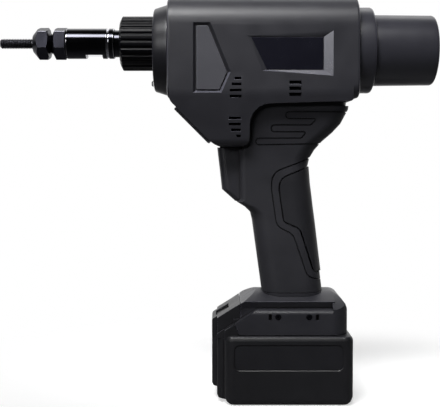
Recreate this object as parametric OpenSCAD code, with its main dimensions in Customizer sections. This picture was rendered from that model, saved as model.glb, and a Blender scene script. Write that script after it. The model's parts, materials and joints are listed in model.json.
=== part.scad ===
// Battery rivet nut tool with a pistol grip, a threaded mandrel nose and a slide-on battery pack.
// X runs along the tool with the nose towards -X, Y is across it, and Z is up from the pack's base.

/* [Body] */
// Width of the body across the flanks
body_w = 76; // [74:1:84]
// Height of the body from keel to crown
body_h = 79; // [77:1:84]
// Length of the body from front face to rear face
body_l = 146.7; // [144:0.1:160]
// Height of the middle of the body above the base
body_z = 275.2; // [272:0.1:290]
// Distance of the body's front face in front of the middle of the base
body_reach = 93.5; // [91:0.1:95]
// Radius of the body's upper edges
shoulder_r = 24; // [16:1:28]
// Radius of the body's lower edges
keel_r = 10; // [6:1:14]
// Wall of the moulded shells
wall = 3; // [2.4:0.1:3.4]
// Depth of the chin under the body
chin_h = 37.2; // [36:0.1:39]
// Width of the chin at its bottom
chin_w = 58; // [54:1:64]

/* [Nose] */
// Height of the spindle axis above the middle of the body
axis_rise = 5.5; // [4:0.1:6.5]
// Thread diameter of the mandrel
mandrel_d = 8; // [5:1:8]
// Length of mandrel that stands out of the anvil
mandrel_reach = 26.4; // [15:0.1:40]
// Length of the anvil's hexagon
anvil_l = 12.8; // [10:0.1:18]
// Size across flats of the anvil and of the lock nut
nose_af = 23; // [22:1:28]
// Diameter of the anvil's adjusting thread
anvil_thread_d = 16; // [14:0.5:16.5]
// Gap between the anvil and the lock nut
lock_gap = 3.2; // [2:0.1:6]
// Length of the lock nut
lock_nut_l = 10.4; // [8:0.1:14]
// Diameter of the nose sleeve
sleeve_d = 24; // [23:0.5:28]
// Length of the nose sleeve in front of its neck
sleeve_l = 38.4; // [36:0.1:50]
// Length of the neck between the sleeve and the adjuster ring
neck_l = 4.8; // [3:0.1:9]
// Diameter of the stroke adjuster ring
adjuster_d = 42.8; // [40:0.1:50]
// Length of the stroke adjuster ring
adjuster_l = 26.4; // [24:0.1:30]
// Number of flutes round the adjuster ring
adjuster_flutes = 24; // [16:1:30]
// Length of the front collar
collar_l = 11.3; // [9:0.1:14]
// Diameter of the front collar at its front
collar_d = 65.6; // [62:0.1:67]
// Diameter of the work light
lamp_d = 5.2; // [4:0.1:6]

/* [Drive] */
// Pulling stroke of the spindle
stroke = 8; // [4:0.5:9]
// Diameter of the ball screw
screw_d = 20; // [18:0.5:20]
// Module of the pulling gears
gear_m = 1; // [0.95:0.01:1]
// Face width of the pulling gears
gear_face = 9; // [6:0.5:9.5]
// Diameter of the pulling motor
motor_d = 35; // [30:0.5:36]
// Length of the pulling motor
motor_l = 58; // [50:0.5:60]
// Diameter of the spin motor
spin_d = 28; // [27:0.5:31]
// Length of the spin motor
spin_l = 42; // [36:0.5:48]

/* [Rear] */
// Diameter of the rear ring
rear_ring_d = 67.6; // [64:0.1:70]
// Length of the rear ring
rear_ring_l = 13.8; // [10:0.1:18]
// Diameter of the rear cap
rear_cap_d = 56; // [54:0.1:60]
// Length of the rear cap behind its ring
rear_cap_l = 49; // [47:0.1:60]

/* [Handle] */
// Width of the handle
handle_w = 38; // [36:0.5:42]
// Rake of the handle's front in degrees
front_rake = 7.9; // [6:0.1:10]
// Rake of the handle's back in degrees
back_rake = 7; // [5:0.1:9]
// Thickness of the rubber grip
grip_t = 2.2; // [1.8:0.1:2.4]
// Width of the moulded lines in the grip
line_w = 1; // [0.6:0.1:1.4]
// Depth of the moulded lines in the grip
line_deep = 0.9; // [0.5:0.1:1.4]
// Travel of the trigger
trigger_travel = 6; // [3:0.5:6.5]
// Width of the trigger
trigger_w = 26; // [20:0.5:26]

/* [Foot] */
// Width of the foot
foot_w = 66; // [64:0.5:70]
// Height of the foot's flank
foot_h = 19.2; // [18:0.1:21]
// Height of the foot's roof above its flank
roof_h = 12; // [11:0.1:14]

/* [Battery] */
// Length of the pack's case without its latch tower
pack_l = 99.2; // [99:0.1:104]
// Width of the pack
pack_w = 73; // [72:0.5:78]
// Height of the pack's case
pack_h = 54; // [52:0.1:60]
// Number of cells in series
cells = 5; // [3:1:6]
// Room between a cell's end and the pack's wall
cell_end_room = 1.5; // [1:0.1:4]
// Room between the row of cells and the pack's wall
cell_row_room = 0.6; // [0.5:0.1:2]
// Gap between neighbouring cells
cell_gap = 0.2; // [0.1:0.05:0.6]
// Travel of the latch button
latch_travel = 3; // [1.5:0.5:3.5]

/* [Fits] */
// Clearance between pieces that are fixed together
fit = 0.1; // [0.05:0.01:0.15]
// Radial clearance of running shafts
run_gap = 0.06; // [0.03:0.01:0.09]
// Clearance of sliding pieces
slide_gap = 0.35; // [0.2:0.05:0.5]

/* [Hidden] */
$fn = 48;
big = 400;
steps = 6;

// Heights
keel_z = body_z - body_h / 2;
crown_z = body_z + body_h / 2;
axis_z = body_z + axis_rise;
chin_z = keel_z - chin_h;
foot_z = pack_h + 0.3;
flank_z = foot_z + foot_h;
roof_z = flank_z + roof_h;

// Stations along the tool
body_front = -body_reach;
body_rear = body_front + body_l;
rear_wall = 6;
collar_front = body_front - collar_l;
ring_front = collar_front - slide_gap - adjuster_l;
sleeve_back = ring_front - neck_l;
sleeve_front = sleeve_back - sleeve_l;
nut_front = sleeve_front - lock_nut_l;
anvil_back = nut_front - lock_gap;
anvil_front = anvil_back - anvil_l;
mandrel_tip = anvil_front - mandrel_reach;
rear_ring_back = body_rear + rear_ring_l;
cap_back = rear_ring_back + rear_cap_l;

// Nose bores and the pieces that run in them
tube_r = 15;
spigot_r = 10.7;
carriage_r = spigot_r - 0.1;
tube_bore_r = spigot_r + fit;
sleeve_bore_r = anvil_thread_d / 2 + 0.5;
chuck_r = sleeve_bore_r - 0.4;
anvil_tail_l = 26;
anvil_tail_back = anvil_back + anvil_tail_l;
head_l = 9;
head_af = 11;
head_front = anvil_tail_back + 3;
chuck_front = head_front - 1;
chuck_back = collar_front - 4;
flange_l = 2.8;
chuck_neck_r = 6;
neck_front = chuck_back - 18;
carriage_front = chuck_back - 7;
carriage_back = chuck_back + 9;
shaft_af = 6;
shaft_front = chuck_back - 18;
nose_turn = -11;
nose_r = nose_af / 2 / cos(30);
nut_chamfer = [4.4, 2.4];

// Gear train, in a frame of two plates
plate_front = body_front + wall + fit;
plate_front_l = 10.3;
bearing_l = 6;
bearing_r = 17;
journal_r = screw_d / 2 + 2;
gear_space_front = plate_front + plate_front_l;
gear_space_l = 30;
plate_rear = gear_space_front + gear_space_l;
plate_rear_l = bearing_l;
plate_rear_back = plate_rear + plate_rear_l;
nut_teeth = 48;
idler_pinion_teeth = 16;
idler_teeth = 30;
motor_teeth = 14;
idler_drop = gear_m * (nut_teeth + idler_pinion_teeth) / 2;
motor_drop = idler_drop + gear_m * (idler_teeth + motor_teeth) / 2;
nut_r = idler_drop - gear_m * (idler_teeth / 2 + 0.8) - 0.6;
idler_z = axis_z - idler_drop;
motor_z = axis_z - motor_drop;
nut_gear_front = gear_space_front + 2;
idler_gear_front = nut_gear_front + gear_face + 1.5;
axle_r = 3;
post_r = 3;
screw_back = plate_rear_back + 22;
motor_shaft_r = 1.6;
motor_back = plate_rear_back + motor_l;
arm_l = 8;
arm_r = screw_d / 2 + 4;
guide_drop = 23;
guide_r = 2.5;

// Spin drive, a planet gear behind the hollow ball screw
planet_m = 0.45;
planet_teeth = 15;
ring_teeth = 45;
planet_orbit = planet_m * planet_teeth;
planet_face = 7;
ring_front_x = body_rear - 21;
ring_l = 23;
ring_back_x = ring_front_x + ring_l;
planet_front = ring_front_x + 9;
carrier_front = planet_front - 4.5;
spin_back = ring_back_x + spin_l;

// Handle, hung from the keel: drop, front, back, half width, front radius, back radius
swell = handle_w / 2;
handle_front = -27.4;
handle_back = 21.4;
handle_drop = 95;
handle_run = keel_z - handle_drop - roof_z + 8;
handle_stations = [
    [handle_drop + handle_run, handle_front + handle_run * tan(front_rake),
        handle_back + handle_run * tan(back_rake), swell + 0.5, 14, 16],
    [handle_drop, handle_front, handle_back, swell, 13, 15],
    [88.5, -29, 20.5, swell, 11, 15],
    [84, -33.5, 19.9, swell, 9, 15],
    [80, -39.8, 19.4, swell, 6, 15],
    [78, -37.4, 19.2, swell, 5, 15],
    [66, -37.6, 17.6, swell + 0.4, 5, 15],
    [52, -38, 16.3, swell + 1.2, 5, 14],
    [46, -38, 17.6, swell + 1.8, 5, 14],
    [39.5, -38, 21.4, swell + 2.8, 5, 14],
    [33, -37.5, 27, swell + 4.2, 5, 14],
    [26, -36, 35, swell + 5.6, 5, 14],
    [19, -35, 41.4, swell + 7, 5, 14],
    [8, -34, 47, swell + 9.6, 5, 14],
    [-3, -34, 48.4, swell + 11, 5, 14]];

// Seam between the hard chin and the rubber grip
seam_x = -30.4;
seam_z = keel_z - 4.6;
seam_rise = 2.4;
seam_end = 48;
seam_gap = 2.2;

// Trigger
trigger_top = chin_z - 0.3;
trigger_front = -55.2;
trigger_back = -31;
trigger_h = 42.2;
trigger_bottom = trigger_top - trigger_h;
trigger_slot_back = trigger_back + trigger_travel + 1;
switch_front = trigger_slot_back + 0.6;
switch_l = 23;
switch_w = 18;
switch_h = 25;
switch_z = trigger_bottom + 7;
stem_r = 3;
stem_z = switch_z + switch_h / 2;

// Foot, its rails and terminals
foot_front = -38.3;
foot_rear = 46;
foot_lean = 3.2;
roof_front = -37;
roof_w = foot_w - 12;
roof_run = 13;
roof_under = 2.5;
foot_corner_r = 12;
slope = 32;
foot_inner_w = foot_w - 2 * wall;
foot_ceiling = flank_z + 0.6;
roof_inner = roof_w / 2 - roof_under - wall;
foot_inner_r = foot_corner_r - wall;
foot_inner_rear = foot_rear - wall;
rail_lip_h = 5.7;
neck_w = 41;
flange_w = 52;
flange_z = foot_z + rail_lip_h + slide_gap;
flange_h = 5;
rail_back = 40;
blade_y = 9;
blade_t = 1;

// Battery pack
pack_rear = pack_l / 2;
pack_front = -pack_rear;
pack_wall = 2.5;
pack_r = 7;
tub_h = pack_h - 4;
step_x = pack_front - 5.7;
tower_x = pack_front - 9.7;
step_w = 52;
tower_w = 32;
cell_l = pack_w - 2 * pack_wall - 2 * cell_end_room;
cell_pitch = (pack_l - 2 * pack_wall - 2 * cell_row_room) / cells;
cell_d = cell_pitch - cell_gap;
cell_z = pack_wall + 3 + cell_d / 2;
frame_h = cell_d + 6;
latch_w = 18;
latch_l = 9.4;
latch_x = tower_x + 3.4;

// Screws of the casing: x, z and the depth of the head's seat under the right flank
screw_r = 1.5;
screw_head_r = 3;
screw_head_l = 2.6;
boss_r = 4.2;
casing_screws_at = [
    [body_rear - 9.2, axis_z + spin_d / 2 + boss_r + 1.3, 8],
    [body_rear - 9.2, axis_z - spin_d / 2 - boss_r - 12.8, 8],
    [plate_rear_back + 8, axis_z + arm_r + boss_r + 2.8, 8],
    [-57, chin_z + 8.6, 8],
    [-15, keel_z - handle_drop - 6, 7],
    [0, roof_z + 14, 7]];
rail_screws_at = [-8.3, 15.6];
rail_screw_z = foot_z + 13.6;

// Points along an arc
function arc(x, y, r, a0, a1, n = steps) =
    [for (i = [0:n]) let (a = a0 + (a1 - a0) * i / n) [x + r * cos(a), y + r * sin(a)]];

// A box outline with its own radius at each corner, from the low corner round
function round_box(x0, x1, y0, y1, r) = concat(
    arc(x0 + r[0], y0 + r[0], r[0], 180, 270), arc(x1 - r[1], y0 + r[1], r[1], 270, 360),
    arc(x1 - r[2], y1 - r[2], r[2], 0, 90), arc(x0 + r[3], y1 - r[3], r[3], 90, 180));

function unit(v) = v / norm(v);
function turn(a) = a > 180 ? a - 360 : a < -180 ? a + 360 : a;

// The arc that rounds corner b between a and c with the radius in b[2]
function corner(a, b, c) =
    let (p = [b[0], b[1]], u = unit([a[0], a[1]] - p), v = unit([c[0], c[1]] - p), r = b[2],
        half = acos(max(-1, min(1, u * v))) / 2)
    r == 0 || half > 89 ? [p] :
    let (m = p + unit(u + v) * r / sin(half), s = p + u * r / tan(half) - m, e = p + v * r / tan(half) - m,
        a0 = atan2(s[1], s[0]), da = turn(atan2(e[1], e[0]) - a0))
    arc(m[0], m[1], r, a0, a0 + da);

// A closed outline through [x, y, radius] corners
function rounded(p) = let (n = len(p))
    [for (i = [0:n - 1]) each corner(p[(i + n - 1) % n], p[i], p[(i + 1) % n])];

// An open line through [x, y, radius] corners
function bent(p) = let (n = len(p))
    [for (i = [0:n - 1])
        each (i == 0 || i == n - 1 ? [[p[i][0], p[i][1]]] : corner(p[i - 1], p[i], p[i + 1]))];

function at_z(p, z) = [for (q = p) [q[0], q[1], z]];
function at_x(p, x) = [for (q = p) [x, q[0], q[1]]];

// One smooth solid through rings of equally many points
module loft(rings) {
    n = len(rings[0]);
    m = len(rings);
    polyhedron([for (r = rings) each r], concat(
        [[for (j = [0:n - 1]) j]],
        [for (i = [0:m - 2], j = [0:n - 1]) each
            [[i * n + j, (i + 1) * n + j, (i + 1) * n + (j + 1) % n],
            [i * n + j, (i + 1) * n + (j + 1) % n, i * n + (j + 1) % n]]],
        [[for (j = [0:n - 1]) m * n - 1 - j]]));
}

// A side outline in X and Z, spread across the tool
module side(points, w) rotate([90, 0, 0]) linear_extrude(w, center = true) polygon(points);

// A cross outline in Y and Z, run along the tool
module along(points, x0, x1) translate([x0, 0, 0]) rotate([90, 0, 90])
    linear_extrude(x1 - x0) polygon(points);

// A line of the given width drawn in X and Z, spread across the tool
module stroke_line(points, line, w) rotate([90, 0, 0]) linear_extrude(w, center = true)
    for (i = [0:len(points) - 2]) {
        a = points[i];
        d = points[i + 1] - a;
        translate(a) rotate(atan2(d[1], d[0])) translate([0, -line / 2]) square([norm(d), line]);
        translate(points[i + 1]) circle(d = line, $fn = 8);
    }

module box(x0, x1, y0, y1, z0, z1) translate([x0, y0, z0]) cube([x1 - x0, y1 - y0, z1 - z0]);
module rod(x0, x1, r, z = axis_z, y = 0) translate([x0, y, z]) rotate([0, 90, 0])
    cylinder(h = x1 - x0, r = r);
module hex_bar(x0, x1, af) translate([x0, 0, axis_z]) rotate([nose_turn, 0, 0]) rotate([0, 90, 0])
    cylinder(h = x1 - x0, d = af / cos(30), $fn = 6);
module cross_rod(y0, y1, r, x, z) translate([x, y1, z]) rotate([90, 0, 0]) cylinder(h = y1 - y0, r = r);
module left_half() intersection() {
    children();
    box(-big, big, -big, 0, -big, big);
}
module right_half() intersection() {
    children();
    box(-big, big, 0, big, -big, big);
}
module mirrored() {
    children();
    mirror([0, 1, 0]) children();
}

// Involute gear outline with stub teeth
pressure = 20;
addendum = 0.8;
dedendum = 1.05;
flank_steps = 4;
function involute(rb, r) = let (a = acos(min(1, rb / r))) tan(a) * 180 / PI - a;
function gear_outline(teeth, m, slack, tip = addendum, root = dedendum) =
    let (rp = m * teeth / 2, rb = rp * cos(pressure), r1 = rp + tip * m, r0 = rp - root * m,
        half = 90 / teeth - slack / rp * 90 / PI,
        radii = [for (i = [0:flank_steps]) max(r0, rb) + (r1 - max(r0, rb)) * i / flank_steps],
        flank = [for (r = radii) [r, half + involute(rb, rp) - involute(rb, r)]],
        down = concat([[r0, flank[0][1]]], flank))
    [for (t = [0:teeth - 1]) each concat(
        [for (f = down) let (a = t * 360 / teeth - f[1]) [f[0] * cos(a), f[0] * sin(a)]],
        [for (i = [len(down) - 1:-1:0]) let (a = t * 360 / teeth + down[i][1])
            [down[i][0] * cos(a), down[i][0] * sin(a)]])];
module gear(x0, x1, teeth, m, slack, z, y = 0, phase = 0) translate([x0, y, z]) rotate([90, 0, 90])
    rotate(phase) linear_extrude(x1 - x0) polygon(gear_outline(teeth, m, slack));

// Coil spring along +Z from the origin, as one unbroken tube
module coil(r, wire, h, turns, sides = 6, per_turn = 12) {
    n = turns * per_turn;
    loft([for (i = [0:n]) let (a = 360 * i / per_turn, z = wire / 2 + (h - wire) * i / n)
        [for (k = [0:sides - 1]) let (b = -360 * k / sides)
            [(r + wire / 2 * cos(b)) * cos(a), (r + wire / 2 * cos(b)) * sin(a), z + wire / 2 * sin(b)]]]);
}

// Casing

function body_section(inset) = round_box(inset - body_w / 2, body_w / 2 - inset,
    keel_z + inset, crown_z - inset,
    [keel_r - inset, keel_r - inset, shoulder_r - inset, shoulder_r - inset]);
body_edge = 2.4;
edge_mid = 0.7;
body_stations = [[body_front, body_edge], [body_front + edge_mid, edge_mid], [body_front + body_edge, 0],
    [body_rear - body_edge, 0], [body_rear - edge_mid, edge_mid], [body_rear, body_edge]];
module body_block() loft([for (s = body_stations) at_x(body_section(s[1]), s[0])]);

chin_front = body_front + 1.8;
chin_slope_l = 35.6;
chin_outline = rounded([[chin_front, body_z, 0], [chin_front, chin_z + chin_slope_l, 8],
    [chin_front + chin_slope_l, chin_z, 18], [seam_x, chin_z, 7], [seam_x, seam_z, 16],
    [seam_end, seam_z + seam_rise, 2], [seam_end, body_z, 0]]);
chin_hollow = rounded([[chin_front + wall, body_z, 0],
    [chin_front + wall, chin_z + chin_slope_l + wall / 2, 6],
    [chin_front + chin_slope_l + wall / 2, chin_z + wall, 14], [seam_x - wall, chin_z + wall, 4],
    [seam_x - wall, body_z, 0]]);
chin_start_z = keel_z + 4;
function chin_section(inset) = let (flank = body_w / 2 - inset, foot = chin_w / 2 - inset)
    rounded([[-flank, body_z, 0], [-flank, chin_start_z, 30], [-foot, chin_z + inset, 8],
    [foot, chin_z + inset, 8], [flank, chin_start_z, 30], [flank, body_z, 0]]);
module chin_block() intersection() {
    side(chin_outline, big);
    along(chin_section(0), body_front, body_rear);
}

function handle_ring(s, inset) = let (front_r = max(1, s[4] - inset), back_r = max(1, s[5] - inset))
    round_box(s[1] + inset, s[2] - inset, inset - s[3], s[3] - inset, [front_r, back_r, back_r, front_r]);
module handle_block(inset, bottom = 0) intersection() {
    loft([for (s = handle_stations) at_z(handle_ring(s, inset), keel_z - s[0])]);
    box(-big, big, -big, big, bottom, big);
}

// The slope of the foot's nose, which the pack's latch tower carries on
function slope_z(x) = roof_z - (roof_front + roof_run - x) * tan(slope);
roof_arch_r = (pow(roof_w / 2, 2) + pow(6.5, 2)) / (2 * 6.5);
tail_arch_r = (pow(foot_w / 2, 2) + pow(roof_h, 2)) / (2 * roof_h);
function arch(w, r, z0, under = 0) = let (a = asin(w / 2 / r), foot = w / 2 - under)
    concat([[foot, z0]], under > 0 ? [[foot, flank_z]] : [], arc(0, roof_z - r, r, 90 - a, 90 + a, 12),
    under > 0 ? [[-foot, flank_z]] : [], [[-foot, z0]]);

// Side outline under the foot's flank and its slope, at the given depth
foot_nose = foot_front - foot_lean - 1;
function foot_side(d) = let (x = roof_front + roof_run, deep = d / cos(slope))
    [[foot_nose, foot_z - 1], [foot_rear, foot_z - 1], [foot_rear, flank_z - d],
    [x + (deep - d) / tan(slope), flank_z - d], [foot_nose, slope_z(foot_nose) - roof_h - deep]];
module foot_plan(rear, half, r, z0, z1) translate([0, 0, z0]) linear_extrude(z1 - z0)
    polygon(round_box(-big / 2, rear, -half, half, [1, r, r, 1]));
function flank_section(z0, edge = 4) = rounded([[-foot_w / 2, z0, 0], [foot_w / 2, z0, 0],
    [foot_w / 2, flank_z, edge], [-foot_w / 2, flank_z, edge]]);
module foot_block() {
    lean_z = slope_z(foot_front - foot_lean) - (roof_z - flank_z);
    intersection() {
        side(rounded([[foot_front, foot_z, 0], [foot_rear, foot_z, 0], [foot_rear, flank_z, 5],
            [roof_front + roof_run, flank_z, 4], [foot_front - foot_lean, lean_z, 0]]), big);
        along(flank_section(foot_z), -big / 2, big / 2);
        foot_plan(foot_rear, foot_w / 2, foot_corner_r, 0, big);
    }
    intersection() {
        side(rounded([[roof_front, foot_z + 1, 0], [foot_rear, foot_z + 1, 0], [foot_rear, roof_z, 16],
            [roof_front + roof_run, roof_z, 6], [roof_front, slope_z(roof_front), 0]]), big);
        union() {
            along(arch(roof_w, roof_arch_r, foot_z + 1, roof_under), -big / 2, 36);
            along(arch(foot_w - 0.2, tail_arch_r, foot_z + 1), 34, foot_rear);
        }
        foot_plan(foot_rear, foot_w / 2, foot_corner_r, 0, big);
    }
}

// A raised lip where the handle stands on the foot
module handle_lip() intersection() {
    handle_block(-1.2);
    box(-big, big, -big, big, roof_z - 8, roof_z - 1.2);
}

module casing_outer() {
    body_block();
    chin_block();
    handle_block(grip_t + fit, roof_z - 7);
    handle_lip();
    foot_block();
}

module casing_hollow() {
    along(body_section(wall), body_front + wall, body_rear - rear_wall);
    intersection() {
        side(chin_hollow, big);
        along(chin_section(wall), body_front + wall, body_rear);
    }
    handle_block(grip_t + fit + wall, foot_ceiling - 1);
    rod(plate_rear_back - 1, motor_back + 4, motor_d / 2 + slide_gap, motor_z);
    intersection() {
        foot_plan(foot_inner_rear, foot_inner_w / 2, foot_inner_r, foot_z - 1, big);
        side(foot_side(wall), big);
    }
    box(-big, foot_inner_rear, -flange_w / 2 - slide_gap, flange_w / 2 + slide_gap, foot_z - 1,
        flange_z + flange_h + slide_gap);
    box(-big, foot_inner_rear, -roof_inner, roof_inner, foot_z, foot_ceiling);
}

// Ribs that carry the control board and the switch, and the screw bosses
board_z = motor_z + motor_d / 2 + 8;
board_x0 = screw_back + stroke + 9;
board_x1 = body_rear - rear_wall - 10;
board_w = 48;
module casing_ribs() intersection() {
    casing_outer();
    union() {
        mirrored() box(board_x0, board_x1, board_w / 2 - 3, big, board_z - 2.4, board_z);
        box(switch_front, switch_front + switch_l, -big, big, switch_z - 2.8, switch_z - fit);
        for (s = casing_screws_at) cross_rod(-big, big, boss_r, s[0], s[1]);
    }
}

// Vent slots: right end, lengths, top and height
vent_h = 1.9;
vent_pitch = 4.5;
module vent_row(right, lengths, top, h = vent_h) for (i = [0:len(lengths) - 1]) let (z = top - i * vent_pitch)
    mirrored() box(right - lengths[i], right, -big, -chin_w / 2 + wall + 3, z - h, z);
module vents() {
    vent_row(-36.8, [5, 7.2, 8.8, 8.8], keel_z + 15.7);
    vent_row(-37, [9.2, 9.2, 7.4, 3.4], keel_z - 14.2);
    vent_row(8.4, [9, 9, 9], keel_z + 12.9, 2.6);
}

// Side pocket with sloped walls, and the panel that lies in it
panel_low = keel_z + 5.4;
panel_high = keel_z + 55.2;
panel_deep = 2;
function panel_outline(grow) = let (g = grow)
    [[-71.6 - g, panel_low - g], [-53 + 0.6 * g, panel_low - g], [-46.8 + 1.1 * g, panel_low + 14],
    [-61.6 + 0.7 * g, panel_high + g], [-71.6 - g, panel_high + g]];
module sunk(outer, inner, y0, y1) loft([[for (p = inner) [p[0], y1, p[1]]],
    [for (p = outer) [p[0], y0, p[1]]]]);
module panel_pocket() mirrored() sunk(panel_outline(1.8), panel_outline(0), -body_w / 2 - 0.01,
    -body_w / 2 + panel_deep);

// Name plate pocket, deeper towards the rear
plate_low = keel_z + 21;
plate_high = keel_z + 46;
plate_deep = 2.1;
plate_shallow = 0.7;
plate_left = -29.5;
plate_right = 25.6;
plate_cut = 11.6;
plate_slope = (plate_deep - plate_shallow) / (plate_right - plate_left);
function plate_outline(g, h) = [[plate_left + plate_cut - 0.4 * g, plate_low - h],
    [plate_right + g, plate_low - h], [plate_right + g, plate_high + h],
    [plate_left - 0.4 * g, plate_high + h]];
function plate_y(x) = plate_shallow + plate_slope * (x - plate_left) - body_w / 2;
module plate_pocket() mirrored() {
    o = plate_outline(7, 4.5);
    p = plate_outline(0, 0);
    q = [[o[0][0] - 0.5, p[0][1] - 0.6], o[1], o[2], [o[3][0] - 0.5, p[3][1] + 0.6]];
    loft([[for (c = p) [c[0], plate_y(c[0]), c[1]]], [for (c = q) [c[0], -body_w / 2 - 0.01, c[1]]]]);
}

module trigger_slot() box(-big / 4, trigger_slot_back, -trigger_w / 2 - slide_gap, trigger_w / 2 + slide_gap,
    trigger_bottom - slide_gap, trigger_top + 0.1);

module screw_holes() for (s = casing_screws_at) {
    cross_rod(-14, big, screw_r + fit, s[0], s[1]);
    cross_rod(screw_seat(s), big, screw_head_r + slide_gap, s[0], s[1]);
}
function flank_y(s) = s[1] < chin_z - 1 ? swell - grip_t : s[1] < keel_z ? chin_w / 2 + 1.5 : body_w / 2;
function screw_seat(s) = flank_y(s) - s[2];

module rail_screw_holes() for (x = rail_screws_at) mirrored() {
    cross_rod(-big, -foot_inner_w / 2 + 1, screw_r + fit, x, rail_screw_z);
    cross_rod(-big, -foot_inner_w / 2 - wall / 2, screw_head_r - 0.6, x, rail_screw_z);
    vent_x = x < 0 ? x - 6.2 : x + 6.2;
    box(vent_x - 1.2, vent_x + 1.2, -big, -foot_inner_w / 2 + 1, rail_screw_z - 2.3, rail_screw_z + 2.3);
}

module casing_body() difference() {
    union() {
        difference() {
            casing_outer();
            casing_hollow();
        }
        difference() {
            casing_ribs();
            rod(plate_rear_back - 1, motor_back + 4, motor_d / 2 + slide_gap, motor_z);
        }
    }
    rod(body_front - 1, body_front + wall + 1, tube_r + slide_gap);
    rod(body_rear - rear_wall - 1, body_rear + 1, spin_d / 2 + fit);
    vents();
    panel_pocket();
    plate_pocket();
    trigger_slot();
    screw_holes();
    rail_screw_holes();
    chin_seat();
}
shell_grey = "#2e2e31";
module casing_left() color(shell_grey) left_half() casing_body();
module casing_right() color(shell_grey) right_half() casing_body();

// Plate on the chin's slope
chin_plate_l = 38;
chin_plate_w = 40;
chin_plate_t = 3.4;
chin_plate_proud = 2.3;
module chin_plate_at() translate([chin_front + chin_slope_l / 2, 0, chin_z + chin_slope_l / 2])
    rotate([0, -45, 0]) children();
module chin_plate_block(w, l, t0, t1) chin_plate_at() translate([-t1, -w / 2, -l / 2]) cube([t1 + t0, w, l]);
module chin_seat() chin_plate_block(chin_plate_w + 2 * fit, chin_plate_l + 2 * fit,
    chin_plate_t - chin_plate_proud, 9);
module chin_plate() color("#38383b") chin_plate_block(chin_plate_w, chin_plate_l,
    chin_plate_t - chin_plate_proud - fit, chin_plate_proud);

// Panels and name plates
panel_t = 1.1;
panel_gap = 0.9;
module side_panel_left() color("#333337") side_panel();
module side_panel_right() color("#333337") mirror([0, 1, 0]) side_panel();
module side_panel() translate([0, panel_deep - fit - body_w / 2, 0]) rotate([90, 0, 0])
    linear_extrude(panel_t) polygon(panel_outline(-panel_gap));
plate_t = 0.4;
module name_plate() loft([for (y = [fit, fit + plate_t])
    [for (c = plate_outline(-0.5, -0.5)) [c[0], plate_y(c[0]) - y, c[1]]]]);
module name_plate_left() color("#1b1b24") name_plate();
module name_plate_right() color("#1b1b24") mirror([0, 1, 0]) name_plate();

// Rubber grip

grip_outline = rounded([[-big / 4, roof_z - 1, 0], [big / 4, roof_z - 1, 0],
    [big / 4, seam_z + seam_rise - seam_gap, 0], [seam_x + seam_gap, seam_z - seam_gap, 14.7],
    [seam_x + seam_gap, chin_z - seam_gap, 8.3], [-big / 4, chin_z - seam_gap, 0]]);

// Serpentine line over the web of the grip: three fingers, each set further forward
finger_h = 5.2;
finger_pitch = 10.1;
finger_top = keel_z - 10.1;
finger_left = [-2.4, -13.6, -25.2];
finger_right = [21.4, 14];
finger_r = finger_h / 2 - 0.01;
line_end = 60;
function finger_turn(i) = let (z = finger_top - i * finger_pitch) concat(
    [[finger_left[i], z, finger_r], [finger_left[i], z - finger_h, finger_r]],
    i < 2 ? [[finger_right[i], z - finger_h, 1], [finger_right[i] - 4.4, z - finger_pitch, 1]] : []);
finger_line = bent(concat([[line_end, finger_top, 0]], [for (i = [0:2]) each finger_turn(i)],
    [[line_end, finger_top - 2 * finger_pitch - finger_h + 1.6, 0]]));

// Band round the palm pad: an outer line, and the pad's own edge
pad_top = keel_z - 52.6;
pad_line = bent([[30, pad_top + 5, 0], [-6.4, pad_top - 9.4, 9], [-6.4, pad_top - 18, 9],
    [-3, pad_top - 42.4, 3.5], [9.6, pad_top - 47.6, 9], [20.6, pad_top - 81.4, 4], [40, pad_top - 84, 0]]);
band_line = bent([[30, pad_top + 11.6, 0], [-12.8, pad_top - 4.6, 11], [-12.8, pad_top - 18, 11],
    [-8.8, pad_top - 46.2, 9], [4, pad_top - 52.6, 9], [15.4, pad_top - 86, 9], [40, pad_top - 92.6, 0]]);
pad_outline = concat(pad_line, [[line_end, pad_top - 84], [line_end, pad_top + 5]]);

module grip_halves() difference() {
    intersection() {
        handle_block(0, roof_z - 1);
        side(grip_outline, big);
    }
    handle_block(grip_t);
    difference() {
        union() {
            stroke_line(finger_line, line_w, big);
            stroke_line(band_line, line_w, big);
        }
        handle_block(line_deep);
    }
    stroke_line(pad_line, 2 * line_w, big);
    side(pad_outline, big);
    translate([0, 0, fit]) along(arch(roof_w, roof_arch_r, foot_z), -big / 2, big / 2);
    trigger_slot();
    for (s = casing_screws_at) cross_rod(0, big, screw_head_r + slide_gap, s[0], s[1]);
}
rubber_black = "#252527";
module grip_left() color(rubber_black) left_half() grip_halves();
module grip_right() color(rubber_black) right_half() grip_halves();

pad_proud = 0.9;
module palm_pad() color("#2a2a2c") difference() {
    intersection() {
        handle_block(-pad_proud, roof_z + 1);
        side(pad_outline, big);
    }
    handle_block(grip_t);
    for (s = casing_screws_at) cross_rod(0, big, screw_head_r + slide_gap, s[0], s[1]);
}

// Nose

// A turned solid along the tool from [radius, x] points
module turned(points, z = axis_z) translate([0, 0, z]) rotate([0, 90, 0]) rotate_extrude() polygon(points);

ring_wall = 2.4;
spigot_back = carriage_front - 1.2;
thread_seat_l = 13;
tail_r = anvil_thread_d / 2;
mandrel_r = mandrel_d / 2;
shank_r = mandrel_r - 0.6;
lamp_z = body_z - 26.2;
collar_back_r = 36.1;
collar_rim = 3.2;
collar_hub_r = tube_r + slide_gap + 3;
groove_x = sleeve_back - 5.2;
groove_deep = 0.7;
wrench_flat = [sleeve_front + 16, sleeve_front + 28.8];

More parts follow.
